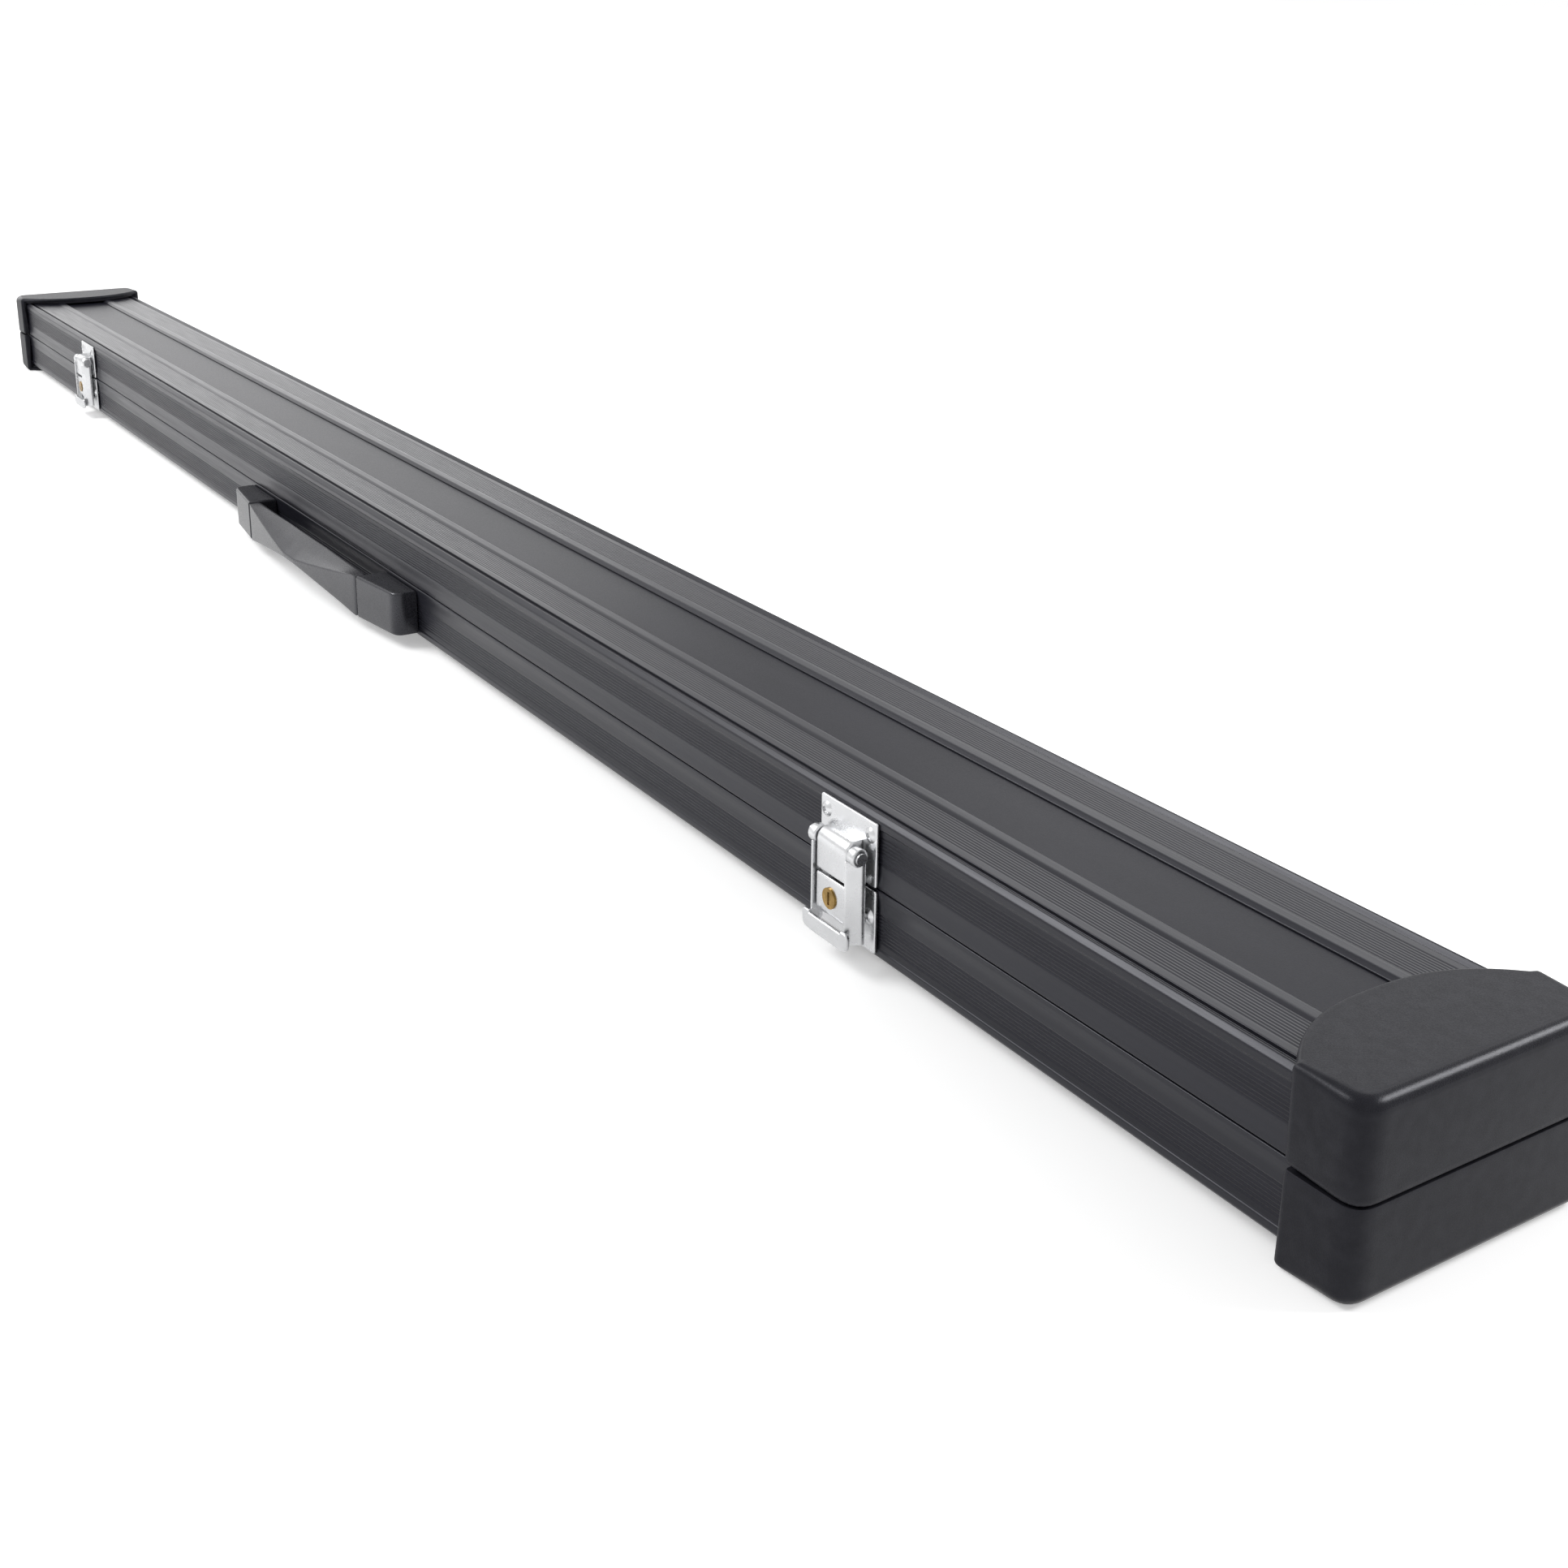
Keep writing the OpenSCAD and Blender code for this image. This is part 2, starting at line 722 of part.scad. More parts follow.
// The two holes of a latch plate for its rivets
module plate_holes(z) {
    for (side = [-1, 1])
        along_y(side * latch_rivet_spacing, -plate_thickness - overrun, z,
            rivet_radius + hole_clearance, plate_thickness + 2 * overrun);
}

module latch_lid_plate(end) {
    color("#d4d5d8")
        at_latch(end)
            difference() {
                union() {
                    translate([-plate_width / 2, -plate_thickness, plate_gap])
                        cube([plate_width, plate_thickness, plate_height]);
                    translate([-tab_width / 2, -plate_thickness, plate_gap - tab_length])
                        cube([tab_width, plate_thickness, tab_length + plate_gap]);
                }
                plate_holes(lid_rivet_height);
            }
}

module latch_base_plate(end) {
    notch_width = tab_width + 2 * tab_clearance;
    notch_depth = tab_length + tab_clearance;
    color("#d4d5d8")
        at_latch(end)
            difference() {
                translate([-plate_width / 2, -plate_thickness, -plate_gap - plate_height])
                    cube([plate_width, plate_thickness, plate_height]);
                translate([-notch_width / 2, -plate_thickness - overrun, plate_gap - notch_depth])
                    cube([notch_width, plate_thickness + 2 * overrun, notch_depth]);
                plate_holes(-base_rivet_drop);
            }
}

// Side view of a raised box over the seam, with its upper front edge cut off, inset by a wall
function box_side(height, slope, inset) =
    let (
        back = plate_thickness - inset,
        front = box_front - inset,
        corner = slope + inset * (sqrt(2) - 1)
    )
    [
        [back, plate_gap + inset],
        [front, plate_gap + inset],
        [front, height - corner],
        [box_front - corner, height - inset],
        [back, height - inset]
    ];

// A hollow box on a latch plate, open at its back
module raised_box(height, slope) {
    difference() {
        side_view(box_width)
            polygon(box_side(height, slope, 0));
        side_view(box_width - 2 * box_wall)
            polygon(box_side(height, slope, box_wall));
    }
}

// A cylinder along X round the bail's pivot, centred on the latch
module bail_cylinder(length, radius) {
    translate([0, -bail_pivot_y, bail_pivot_height])
        rotate([0, 90, 0])
            cylinder(r = radius, h = length, center = true);
}

module latch_flap_box(end) {
    color("#d4d5d8")
        at_latch(end)
            difference() {
                raised_box(flap_height, flap_slope);
                bail_cylinder(plate_width, bail_pin_radius + running_clearance);
            }
}

module bail_pin(end) {
    shank = 2 * (bail_outer + pin_play);
    color("#c9c9cc")
        at_latch(end) {
            bail_cylinder(shank + 2 * pin_head, bail_pin_radius);
            for (side = [-1, 1])
                translate([side * (shank + pin_head) / 2, 0, 0])
                    bail_cylinder(pin_head, pin_head_radius);
        }
}

// The bail seen from its side: an eye on the pin, an arm beside the boxes, and a bar in front of the lock box
module bail_side() {
    arm_back = plate_thickness + bail_arm_back;
    arm_front = arm_back + bail_arm_depth;
    bar_back = box_front + bail_clearance;
    bar_front = bar_back + bail_bar_thickness;
    eye_root = bail_eye_radius / 2;
    polygon([
        [arm_back, bail_pivot_height],
        [arm_back, -bail_bend_drop],
        [bar_back, bail_window_floor],
        [bar_back, bail_bottom - overrun],
        [bar_front, bail_bottom - overrun],
        [bar_front, bail_window_floor],
        [arm_front, -bail_bend_drop],
        [arm_front, bail_pivot_height - bail_eye_radius],
        [bail_pivot_y + eye_root, bail_pivot_height + eye_root],
        [bail_pivot_y, bail_pivot_height]
    ]);
    translate([bail_pivot_y, bail_pivot_height])
        circle(bail_eye_radius);
}

// A strip that hangs to a depth under the seam, drawn from the front with rounded lower corners
module hanging_strip(depth, width, radius, from, to) {
    top = bail_pivot_height + 2 * bail_eye_radius;
    translate([0, -from, top])
        rotate([90, 0, 0])
            linear_extrude(to - from)
                rotate(-90)
                    rounded_end(top + depth, width, radius);
}

// The bail: its side view crossed with its outline, with the window between the arms cut out
module bail_ring(end) {
    front = box_front + 2 * box_depth;
    color("#d4d5d8")
        at_latch(end)
            difference() {
                intersection() {
                    side_view(plate_width)
                        bail_side();
                    hanging_strip(-bail_bottom, 2 * bail_outer, bail_corner_radius, plate_thickness, front);
                }
                hanging_strip(-bail_window_floor, 2 * bail_inner, bail_window_radius, 0, front + overrun);
                bail_cylinder(plate_width, bail_pin_radius + running_clearance);
            }
}

// A cylinder along Y round the key's axis, between two distances out from the front face
module key_cylinder(from, to, radius) {
    along_y(0, -to, -barrel_drop, radius, to - from);
}

module lock_box(end) {
    color("#d4d5d8")
        at_latch(end)
            difference() {
                mirror([0, 0, 1])
                    raised_box(lock_height, lock_chamfer);
                key_cylinder(box_front - 2 * box_wall, box_front + overrun, barrel_radius + running_clearance);
            }
}

// The key barrel, with a shoulder behind the box's wall, a spigot for the cam and a key slot
module key_barrel(end) {
    face = box_front + barrel_proud;
    shoulder_front = box_front - box_wall - pin_play;
    color("#c8a24c")
        at_latch(end)
            difference() {
                union() {
                    key_cylinder(cam_front, face, barrel_radius);
                    key_cylinder(shoulder_front - barrel_shoulder, shoulder_front, barrel_radius + barrel_shoulder);
                    key_cylinder(cam_back, cam_front, spigot_radius);
                }
                translate([-key_slot_width / 2, -face - overrun, -barrel_drop - key_slot_height / 2])
                    cube([key_slot_width, key_slot_depth + overrun, key_slot_height]);
            }
}

// The near locking cam on the barrel's spigot, inside the lock box
module lock_cam() {
    reach = cam_length - cam_width / 2;
    color("#c9c9cc")
        at_latch(near)
            translate([0, -cam_back, -barrel_drop])
                rotate([90, 0, 0])
                    linear_extrude(cam_thickness)
                        difference() {
                            union() {
                                circle(cam_width / 2);
                                translate([0, -cam_width / 2])
                                    square([reach, cam_width]);
                                translate([reach, 0])
                                    circle(cam_width / 2);
                            }
                            circle(spigot_radius + running_clearance);
                        }
}

// Draws at the middle of the handle, on the front face
module at_handle(x) {
    translate([x, front_y, seam_z - handle_drop])
        children();
}

// A cylinder along X round the grip's pivot
module pivot_cylinder(start, length, radius) {
    translate([start, -grip_pivot, 0])
        rotate([0, 90, 0])
            cylinder(r = radius, h = length);
}

// The near bracket: a block that tapers to a rounded outer corner, bored for the pivot pin and the screws
module handle_bracket_near() {
    inner = -bracket_length / 2;
    taper = atan((bracket_reach - bracket_end_reach) / bracket_length);
    corner_x = bracket_length - bracket_radius;
    corner_reach = bracket_reach - corner_x * tan(taper) - bracket_radius / cos(taper);
    corner = [
        for (step = [0:corner_steps])
            let (turn = (90 - taper) * step / corner_steps)
                [corner_x + bracket_radius * cos(turn), corner_reach + bracket_radius * sin(turn)]
    ];
    color("#26272a")
        at_handle(bracket_x)
            difference() {
                linear_extrude(bracket_height, center = true)
                    mirror([0, 1])
                        translate([inner, 0])
                            polygon(concat([[0, bracket_reach], [0, 0], [bracket_length, 0]], corner));
                pivot_cylinder(inner - overrun, grip_pin_depth + overrun, grip_pin_radius + running_clearance);
                for (row = [-1, 1])
                    along_y(0, -screw_depth, row * screw_spacing / 2,
                        screw_radius + hole_clearance, screw_depth + overrun);
            }
}

// The boat-shaped grip: its bowed plan crossed with a section whose front edges are cut off
module handle_grip() {
    end_outer = grip_stand_off + grip_thickness;
    middle_inner = grip_stand_off + grip_inner_bow;
    middle = grip_middle / 2;
    ridge = grip_ridge / 2;
    bend = grip_half_length - grip_end;
    half = grip_height / 2;
    front_half = grip_front_height / 2;
    plan = [
        [-grip_half_length, end_outer], [-ridge, grip_outer], [ridge, grip_outer],
        [grip_half_length, end_outer], [grip_half_length, grip_stand_off], [bend, grip_stand_off],
        [middle, middle_inner], [-middle, middle_inner], [-bend, grip_stand_off],
        [-grip_half_length, grip_stand_off]
    ];
    section = [
        [grip_stand_off, grip_chamfer - half], [grip_stand_off + grip_chamfer, -half], [end_outer, -half],
        [grip_outer, -front_half], [grip_outer, front_half], [end_outer, half],
        [grip_stand_off + grip_chamfer, half], [grip_stand_off, half - grip_chamfer]
    ];
    color("#2a2b2e")
        at_handle(0)
            difference() {
                intersection() {
                    linear_extrude(grip_height, center = true)
                        mirror([0, 1])
                            polygon(plan);
                    side_view(2 * grip_half_length)
                        polygon(section);
                }
                for (end = [-1, 1])
                    pivot_cylinder(end > 0 ? grip_half_length - grip_pin_depth : -grip_half_length - overrun,
                        grip_pin_depth + overrun, grip_pin_radius + running_clearance);
            }
}

module handle_pins() {
    length = 2 * grip_pin_depth + grip_gap - 2 * pin_play;
    color("#c9c9cc")
        at_handle(0)
            for (end = [-1, 1])
                pivot_cylinder(end * (grip_half_length + grip_gap / 2) - length / 2, length, grip_pin_radius);
}

module handle_screws() {
    color("#c9c9cc")
        for (screw = screw_rows)
            at_handle(screw[0]) {
                along_y(0, pin_play - screw_depth, screw[1], screw_radius,
                    screw_depth + rail_wall + screw_head_height - pin_play);
                along_y(0, rail_wall, screw[1], screw_head_radius, screw_head_height);
            }
}

base_front_rail();
base_rear_rail();
in_base() panel();  // base_panel
base_near_cap();
at_far_end() base_near_cap();  // base_far_cap
base_floor_lining();
base_front_lining();
base_rear_lining();
lid_front_rail();
lid_rear_rail();
panel();  // lid_panel
lid_near_cap();
at_far_end() lid_near_cap();  // lid_far_cap
lid_lining();
hinge_base_leaf(1);  // hinge_base_leaf_near
hinge_base_leaf(0);  // hinge_base_leaf_middle
hinge_base_leaf(-1);  // hinge_base_leaf_far
hinge_lid_leaf(1);  // hinge_lid_leaf_near
hinge_lid_leaf(0);  // hinge_lid_leaf_middle
hinge_lid_leaf(-1);  // hinge_lid_leaf_far
hinge_pin(1);  // hinge_pin_near
hinge_pin(0);  // hinge_pin_middle
hinge_pin(-1);  // hinge_pin_far
hinge_rivets(seam_z - hinge_rivet_drop);  // hinge_base_rivets
hinge_rivets(seam_z + hinge_rivet_drop);  // hinge_lid_rivets
latch_lid_plate(near);  // latch_lid_plate_near
latch_lid_plate(far);  // latch_lid_plate_far
latch_flap_box(near);  // latch_flap_box_near
latch_flap_box(far);  // latch_flap_box_far
bail_pin(near);  // bail_pin_near
bail_pin(far);  // bail_pin_far
bail_ring(near);  // bail_ring_near
bail_ring(far);  // bail_ring_far
latch_base_plate(near);  // latch_base_plate_near
latch_base_plate(far);  // latch_base_plate_far
lock_box(near);  // lock_box_near
lock_box(far);  // lock_box_far
key_barrel(near);  // key_barrel_near
key_barrel(far);  // key_barrel_far
lock_cam();  // lock_cam_near
at_far_end() lock_cam();  // lock_cam_far
latch_rivets(seam_z + lid_rivet_height);  // lid_latch_rivets
latch_rivets(seam_z - base_rivet_drop);  // base_latch_rivets
handle_bracket_near();
at_far_end() handle_bracket_near();  // handle_bracket_far
handle_grip();
handle_pins();
handle_screws();
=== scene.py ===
# %% [markdown]
# # A long black clamshell case
# The case is two shallow trays of extruded rails, joined by hinges and held shut by two chrome latches.
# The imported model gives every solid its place, so this lesson dresses it: finer rails and caps, soft
# linings, rounded metalwork and a finish for each surface. We start by loading that model as a frame that
# stays fixed.

# %% Load the fixed frame
import math

import bmesh
import bpy
import numpy as np
from mathutils import Matrix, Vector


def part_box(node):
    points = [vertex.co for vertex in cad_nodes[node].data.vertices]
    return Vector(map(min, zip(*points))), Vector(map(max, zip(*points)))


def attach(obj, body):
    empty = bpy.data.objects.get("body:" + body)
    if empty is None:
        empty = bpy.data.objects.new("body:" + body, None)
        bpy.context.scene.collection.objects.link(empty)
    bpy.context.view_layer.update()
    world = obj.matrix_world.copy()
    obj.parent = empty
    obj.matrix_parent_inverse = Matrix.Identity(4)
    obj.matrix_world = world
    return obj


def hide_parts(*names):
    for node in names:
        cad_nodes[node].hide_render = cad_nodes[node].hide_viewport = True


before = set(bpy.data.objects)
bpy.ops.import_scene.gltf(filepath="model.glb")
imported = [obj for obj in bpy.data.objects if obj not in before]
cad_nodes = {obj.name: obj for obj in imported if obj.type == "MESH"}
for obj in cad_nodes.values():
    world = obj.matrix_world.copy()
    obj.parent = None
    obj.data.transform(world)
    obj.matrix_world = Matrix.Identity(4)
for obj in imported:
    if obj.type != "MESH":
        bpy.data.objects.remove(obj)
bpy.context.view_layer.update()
MM = 0.001

# %% [markdown]
# ## The camera
# A photograph fixes where its camera stood: long parallel edges run to vanishing points, and a known
# length sets the distance. The angles below were worked out that way. A small vertical shift stands in
# for the crop of the picture, which has its optical centre above the middle.

# %% Stand the camera where the photograph was taken
PHOTO_SIDE = 1932
SENSOR_WIDTH = 36
EYE = np.array([853.3, -325.4, 269.9]) * MM
AZIMUTH, ELEVATION, ROLL = np.radians([57.447, 17.51, -0.481])
FOCAL_PIXELS = 2435
CENTRE_ROW = 740


def camera_axes(azimuth, elevation, roll):
    """Right, up and back as columns: back points from case to eye, and roll turns right towards down."""
    back = np.array([math.sin(azimuth) * math.cos(elevation), -math.cos(azimuth) * math.cos(elevation),
                     math.sin(elevation)])
    level = np.cross(-back, (0, 0, 1))
    level /= np.linalg.norm(level)
    down = np.cross(-back, level)
    right = math.cos(roll) * level + math.sin(roll) * down
    return np.stack([right, np.cross(back, right), back], axis=1)


camera_data = bpy.data.cameras.new("photo_camera")
camera_data.sensor_width = SENSOR_WIDTH
camera_data.lens = SENSOR_WIDTH * FOCAL_PIXELS / PHOTO_SIDE
camera_data.shift_y = (CENTRE_ROW - PHOTO_SIDE / 2) / PHOTO_SIDE
camera_data.clip_start = 0.01
camera = bpy.data.objects.new("photo_camera", camera_data)
bpy.context.scene.collection.objects.link(camera)
placing = np.eye(4)
placing[:3, :3] = camera_axes(AZIMUTH, ELEVATION, ROLL)
placing[:3, 3] = EYE
camera.matrix_world = Matrix(placing.tolist())
bpy.context.scene.camera = camera
print("camera: lens", round(camera_data.lens, 1), "mm, shift", round(camera_data.shift_y, 3))

# %% [markdown]
# ## Mesh helpers
# Every new piece here is a loft: rows of points, each row a closed loop, with faces between the rows and
# one flat face over each end. Whole arrays go into the mesh at once, which is quicker and easier to read
# than adding vertices one by one. The face directions are recalculated, because mirrored copies come out
# inside out.

# %% Turn rows of points into a closed mesh
SMOOTH_ANGLE = math.radians(32)


def loft_faces(rows, columns, first):
    """Quads between neighbouring closed rows: corner c of row r joins c + 1, counted round, and row r + 1."""
    r, c = np.meshgrid(np.arange(rows - 1), np.arange(columns), indexing="ij")
    along = (c + 1) % columns
    here, there = r * columns, (r + 1) * columns
    quads = np.stack([here + c, here + along, there + along, there + c], axis=-1)
    return first + quads.reshape(-1, 4)


def loft_mesh(name, lofts):
    """A mesh of several closed lofts, each an array of rows, columns and xyz in millimetres.

    Its faces look outwards, and only edges sharper than the smooth angle show as edges.
    """
    points, quads, lids, first = [], [], [], 0
    for rows in lofts:
        count, columns = rows.shape[:2]
        points.append(rows.reshape(-1, 3) * MM)
        quads.append(loft_faces(count, columns, first))
        lids += [np.arange(columns) + first, np.arange(columns) + first + (count - 1) * columns]
        first += count * columns
    points, quads = np.concatenate(points), np.concatenate(quads)
    sizes = np.concatenate([np.full(len(quads), 4), [len(lid) for lid in lids]])
    corners = np.concatenate([quads.ravel(), *lids])
    mesh = bpy.data.meshes.new(name)
    mesh.vertices.add(len(points))
    mesh.vertices.foreach_set("co", points.astype(np.float32).ravel())
    mesh.loops.add(len(corners))
    mesh.loops.foreach_set("vertex_index", corners.astype(np.int32))
    mesh.polygons.add(len(sizes))
    mesh.polygons.foreach_set("loop_start", (np.cumsum(sizes) - sizes).astype(np.int32))
    mesh.update(calc_edges=True)
    turned = bmesh.new()
    turned.from_mesh(mesh)
    bmesh.ops.recalc_face_normals(turned, faces=turned.faces)
    turned.to_mesh(mesh)
    turned.free()
    mesh.shade_smooth()
    mesh.set_sharp_from_angle(angle=SMOOTH_ANGLE)
    return mesh


print("loft helper: 2 rows of 4 points give", len(loft_faces(2, 4, 0)), "side faces")

# %% Make a piece that rides on a body
def make_piece(name, lofts, body, material, replaced):
    """One object of closed lofts with its finish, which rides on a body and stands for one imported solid."""
    piece = bpy.data.objects.new(name, loft_mesh(name, lofts))
    bpy.context.scene.collection.objects.link(piece)
    piece.data.materials.append(material)
    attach(piece, body)
    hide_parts(replaced)
    return piece


# %% Soften the corners of a drawn outline
# Extra points lie at this multiple of the trim, and a trim takes at most this share of a side.
SUPPORT = 1.2
LONGEST_TRIM = 0.4
TINY = 1e-9
UNIT_SQUARE = ((0, 0), (1, 0), (1, 1), (0, 1))


def softened(corners, trim, steps=6):
    """Each corner of a closed outline becomes a parabola that leaves one side and meets the next at the trim.

    With sides along a and b from corner P, its points are (1 - s)^2 (P + a) + 2 s (1 - s) P + s^2 (P + b).
    A point just outside each end keeps the flat beside it flat when the mesh is shaded smooth.
    Several outlines may be stacked in one array, and a trim is cut back where a side is short.
    """
    corners = np.asarray(corners, float)
    trims = np.broadcast_to(np.asarray(trim, float), corners.shape[:-1])[..., None, None]
    neighbours = np.stack([np.roll(corners, 1, axis=-2), np.roll(corners, -1, axis=-2)], axis=-2)
    ways = neighbours - corners[..., None, :]
    lengths = np.linalg.norm(ways, axis=-1, keepdims=True)
    ends = ways * np.minimum(trims, LONGEST_TRIM * lengths) / np.maximum(lengths, TINY)
    before, after = ends[..., :1, :], ends[..., 1:, :]
    s = np.linspace(0, 1, steps)[:, None]
    arc = (1 - s) ** 2 * before + s ** 2 * after
    parts = np.concatenate([SUPPORT * before, arc, SUPPORT * after], axis=-2)
    return (corners[..., None, :] + parts).reshape(*corners.shape[:-2], -1, 2)


print("softened square:", len(softened(UNIT_SQUARE, 0.2)), "points")

# %% Draw an outline inwards
LEAST_TRIM = 0.04


def drawn_in(corners, trims, distance):
    """Moves every side of a closed outline inwards by a distance, and fits the corners' trims to that.

    With the outward normals n and m of the two sides at a corner, the corner moves (n + m) / (1 + n.m) times
    the distance. A trim shrinks by the tangent of half the turn at an outer corner and grows at an inner one.
    """
    corners = np.asarray(corners, float)
    following = np.roll(corners, -1, axis=-2)
    way = np.sign(np.sum(corners[..., 0] * following[..., 1] - corners[..., 1] * following[..., 0]))
    side = following - corners
    side /= np.linalg.norm(side, axis=-1, keepdims=True)
    after = way * np.stack([side[..., 1], -side[..., 0]], axis=-1)
    before = np.roll(after, 1, axis=-2)
    meet = 1 + np.sum(before * after, axis=-1)
    tangent = way * (before[..., 0] * after[..., 1] - before[..., 1] * after[..., 0]) / meet
    moved = corners - np.asarray(distance)[..., None] * (before + after) / meet[..., None]
    return moved, np.maximum(np.asarray(trims) - distance * tangent, LEAST_TRIM)


smaller_square, _ = drawn_in(UNIT_SQUARE, 0.2, 0.1)
print("unit square drawn in by a tenth: side", round(float(np.ptp(smaller_square[:, 0])), 2))

# %% Round the rims of a thick plate
# The flat ring inside a rim ends at this multiple of the rim's radius.
RIM_STEPS = 5
RIM_RING = 1.8


def slab(corners, trims, low, high, edge, place, steps=6):
    """A thick plate of an outline, from low to high, with rounded rims and a flat ring inside each rim.

    At angle t the rim is drawn in by edge (1 - sin t) and stands edge (1 - cos t) from the face. place turns
    the outline's two directions and the height into xyz.
    """
    corners, trims = np.asarray(corners, float), np.broadcast_to(np.asarray(trims, float), len(corners))
    turn = np.linspace(0, np.pi / 2, RIM_STEPS)
    inset = np.concatenate([[RIM_RING * edge], edge * (1 - np.sin(turn))])
    depth = np.concatenate([[0], edge * (1 - np.cos(turn))])
    insets = np.concatenate([inset, inset[::-1]])[:, None] + np.zeros(len(corners))
    heights = np.concatenate([low + depth, high - depth[::-1]])
    rows = softened(*drawn_in(corners, trims, insets), steps)
    return place(rows[..., 0], rows[..., 1], np.broadcast_to(heights[:, None], rows.shape[:2]))


print("helpers: loft, softened outline and rounded slab")

# %% [markdown]
# ## Finishes
# A finish is a Principled shader whose colour, roughness and bump vary a little, as on the real surface.
# Noise on Object coordinates is enough for most of them: stretched along the case it makes drawing lines,
# fine and even it makes moulding grain, and two scales together make flock. Constants sit straight on the
# shader's sockets.

# %% Make noise and ranges
NOISE_DETAIL = 3


def noise(material, scale, stretch):
    """Noise over Object coordinates multiplied by stretch, with scale waves to the metre."""
    tree = material.node_tree
    coordinates = tree.nodes.new("ShaderNodeTexCoord")
    mapping = tree.nodes.new("ShaderNodeMapping")
    mapping.inputs["Scale"].default_value = stretch
    texture = tree.nodes.new("ShaderNodeTexNoise")
    texture.inputs["Scale"].default_value = scale
    texture.inputs["Detail"].default_value = NOISE_DETAIL
    tree.links.new(coordinates.outputs["Object"], mapping.inputs["Vector"])
    tree.links.new(mapping.outputs["Vector"], texture.inputs["Vector"])
    return texture.outputs["Fac"]


def mapped(tree, source, low, high, band=(0, 1)):
    """A Map Range node that carries a source from a band to the range from low to high."""
    level = tree.nodes.new("ShaderNodeMapRange")
    for socket, value in zip(("From Min", "From Max", "To Min", "To Max"), (*band, low, high)):
        level.inputs[socket].default_value = value
    tree.links.new(source, level.inputs["Value"])
    return level


print("noise detail:", NOISE_DETAIL)

# %% Build one finish
POLISH = 0.6
COLOUR_BAND = (0.32, 0.68)
ROUGH_BAND = (0.3, 0.7)


def finish(name, dark, light, rough, grain, mottle, bump, depth=0.0001, metallic=0.0, gloss=0.5,
           tint=(1, 1, 1)):
    """A surface between two colours, led by the mottle noise, with grain noise as its roughness and bump.

    Grain and mottle are each a scale and a stretch for noise(). bump is the grain's strength and depth its
    height in metres. gloss is the shader's specular level, and tint colours the gloss.
    Where a mesh has a point attribute called wear, rubbing has smoothed it and the roughness shrinks.
    """
    material = bpy.data.materials.new(name)
    material.use_nodes = True
    tree = material.node_tree
    shader = tree.nodes["Principled BSDF"]
    shader.inputs["Metallic"].default_value = metallic
    shader.inputs["Specular IOR Level"].default_value = gloss
    shader.inputs["Specular Tint"].default_value = (*tint, 1)
    ramp = tree.nodes.new("ShaderNodeValToRGB")
    for stop, position, colour in zip(ramp.color_ramp.elements, COLOUR_BAND, (dark, light)):
        stop.position = position
        stop.color = (*colour, 1)
    tree.links.new(noise(material, *mottle), ramp.inputs["Fac"])
    tree.links.new(ramp.outputs["Color"], shader.inputs["Base Color"])
    relief = noise(material, *grain)
    level = mapped(tree, relief, *rough, ROUGH_BAND)
    wear = tree.nodes.new("ShaderNodeAttribute")
    wear.attribute_name = "wear"
    polish = mapped(tree, wear.outputs["Fac"], 1.0, POLISH)
    rubbed = tree.nodes.new("ShaderNodeMath")
    rubbed.operation = "MULTIPLY"
    tree.links.new(level.outputs["Result"], rubbed.inputs[0])
    tree.links.new(polish.outputs["Result"], rubbed.inputs[1])
    tree.links.new(rubbed.outputs["Value"], shader.inputs["Roughness"])
    lift = tree.nodes.new("ShaderNodeBump")
    lift.inputs["Strength"].default_value = bump
    lift.inputs["Distance"].default_value = depth
    tree.links.new(relief, lift.inputs["Height"])
    tree.links.new(lift.outputs["Normal"], shader.inputs["Normal"])
    return material


print("a rubbed edge keeps", POLISH, "of its roughness")

# %% Mix the finishes of this case
EVEN = (1, 1, 1)
ALONG_CASE = (0.02, 1, 1)
DRAWN_LINES = (1600, ALONG_CASE), (220, ALONG_CASE)
COOL = (0.92, 0.93, 1.0)
RAIL_BLACKS = (0.008, 0.008, 0.012), (0.013, 0.013, 0.018)
anodised = finish("black_anodised_rail", *RAIL_BLACKS, (0.28, 0.36), *DRAWN_LINES,
                  bump=0.12, gloss=0.30, tint=COOL)
ribbed = finish("black_anodised_ribs", *RAIL_BLACKS, (0.38, 0.46), *DRAWN_LINES,
                bump=0.12, gloss=0.22, tint=COOL)
satin = finish("satin_black_panel", (0.007, 0.007, 0.011), (0.011, 0.011, 0.016), (0.30, 0.38),
               (2600, EVEN), (60, (0.3, 1, 1)), bump=0.10, gloss=0.11, tint=COOL)
moulded = finish("moulded_black_cap", (0.007, 0.007, 0.010), (0.013, 0.013, 0.017), (0.38, 0.52),
                 (3200, EVEN), (260, EVEN), bump=0.22, gloss=0.17, tint=COOL)
grip_black = finish("smooth_black_handle", (0.009, 0.009, 0.012), (0.015, 0.015, 0.019), (0.24, 0.32),
                    (2400, EVEN), (160, EVEN), bump=0.10, gloss=0.5, tint=COOL)
chrome = finish("satin_chrome", (0.55, 0.555, 0.565), (0.61, 0.615, 0.625), (0.24, 0.34),
                (300, EVEN), (90, EVEN), bump=0.015, metallic=1.0)
steel = finish("plain_steel", (0.42, 0.42, 0.43), (0.52, 0.52, 0.53), (0.28, 0.40),
               (2200, (0.08, 1, 1)), (140, EVEN), bump=0.08, metallic=1.0)
brass = finish("turned_brass", (0.20, 0.12, 0.03), (0.36, 0.23, 0.07), (0.18, 0.30),
               (2400, (1, 0.1, 1)), (400, EVEN), bump=0.06, metallic=1.0)
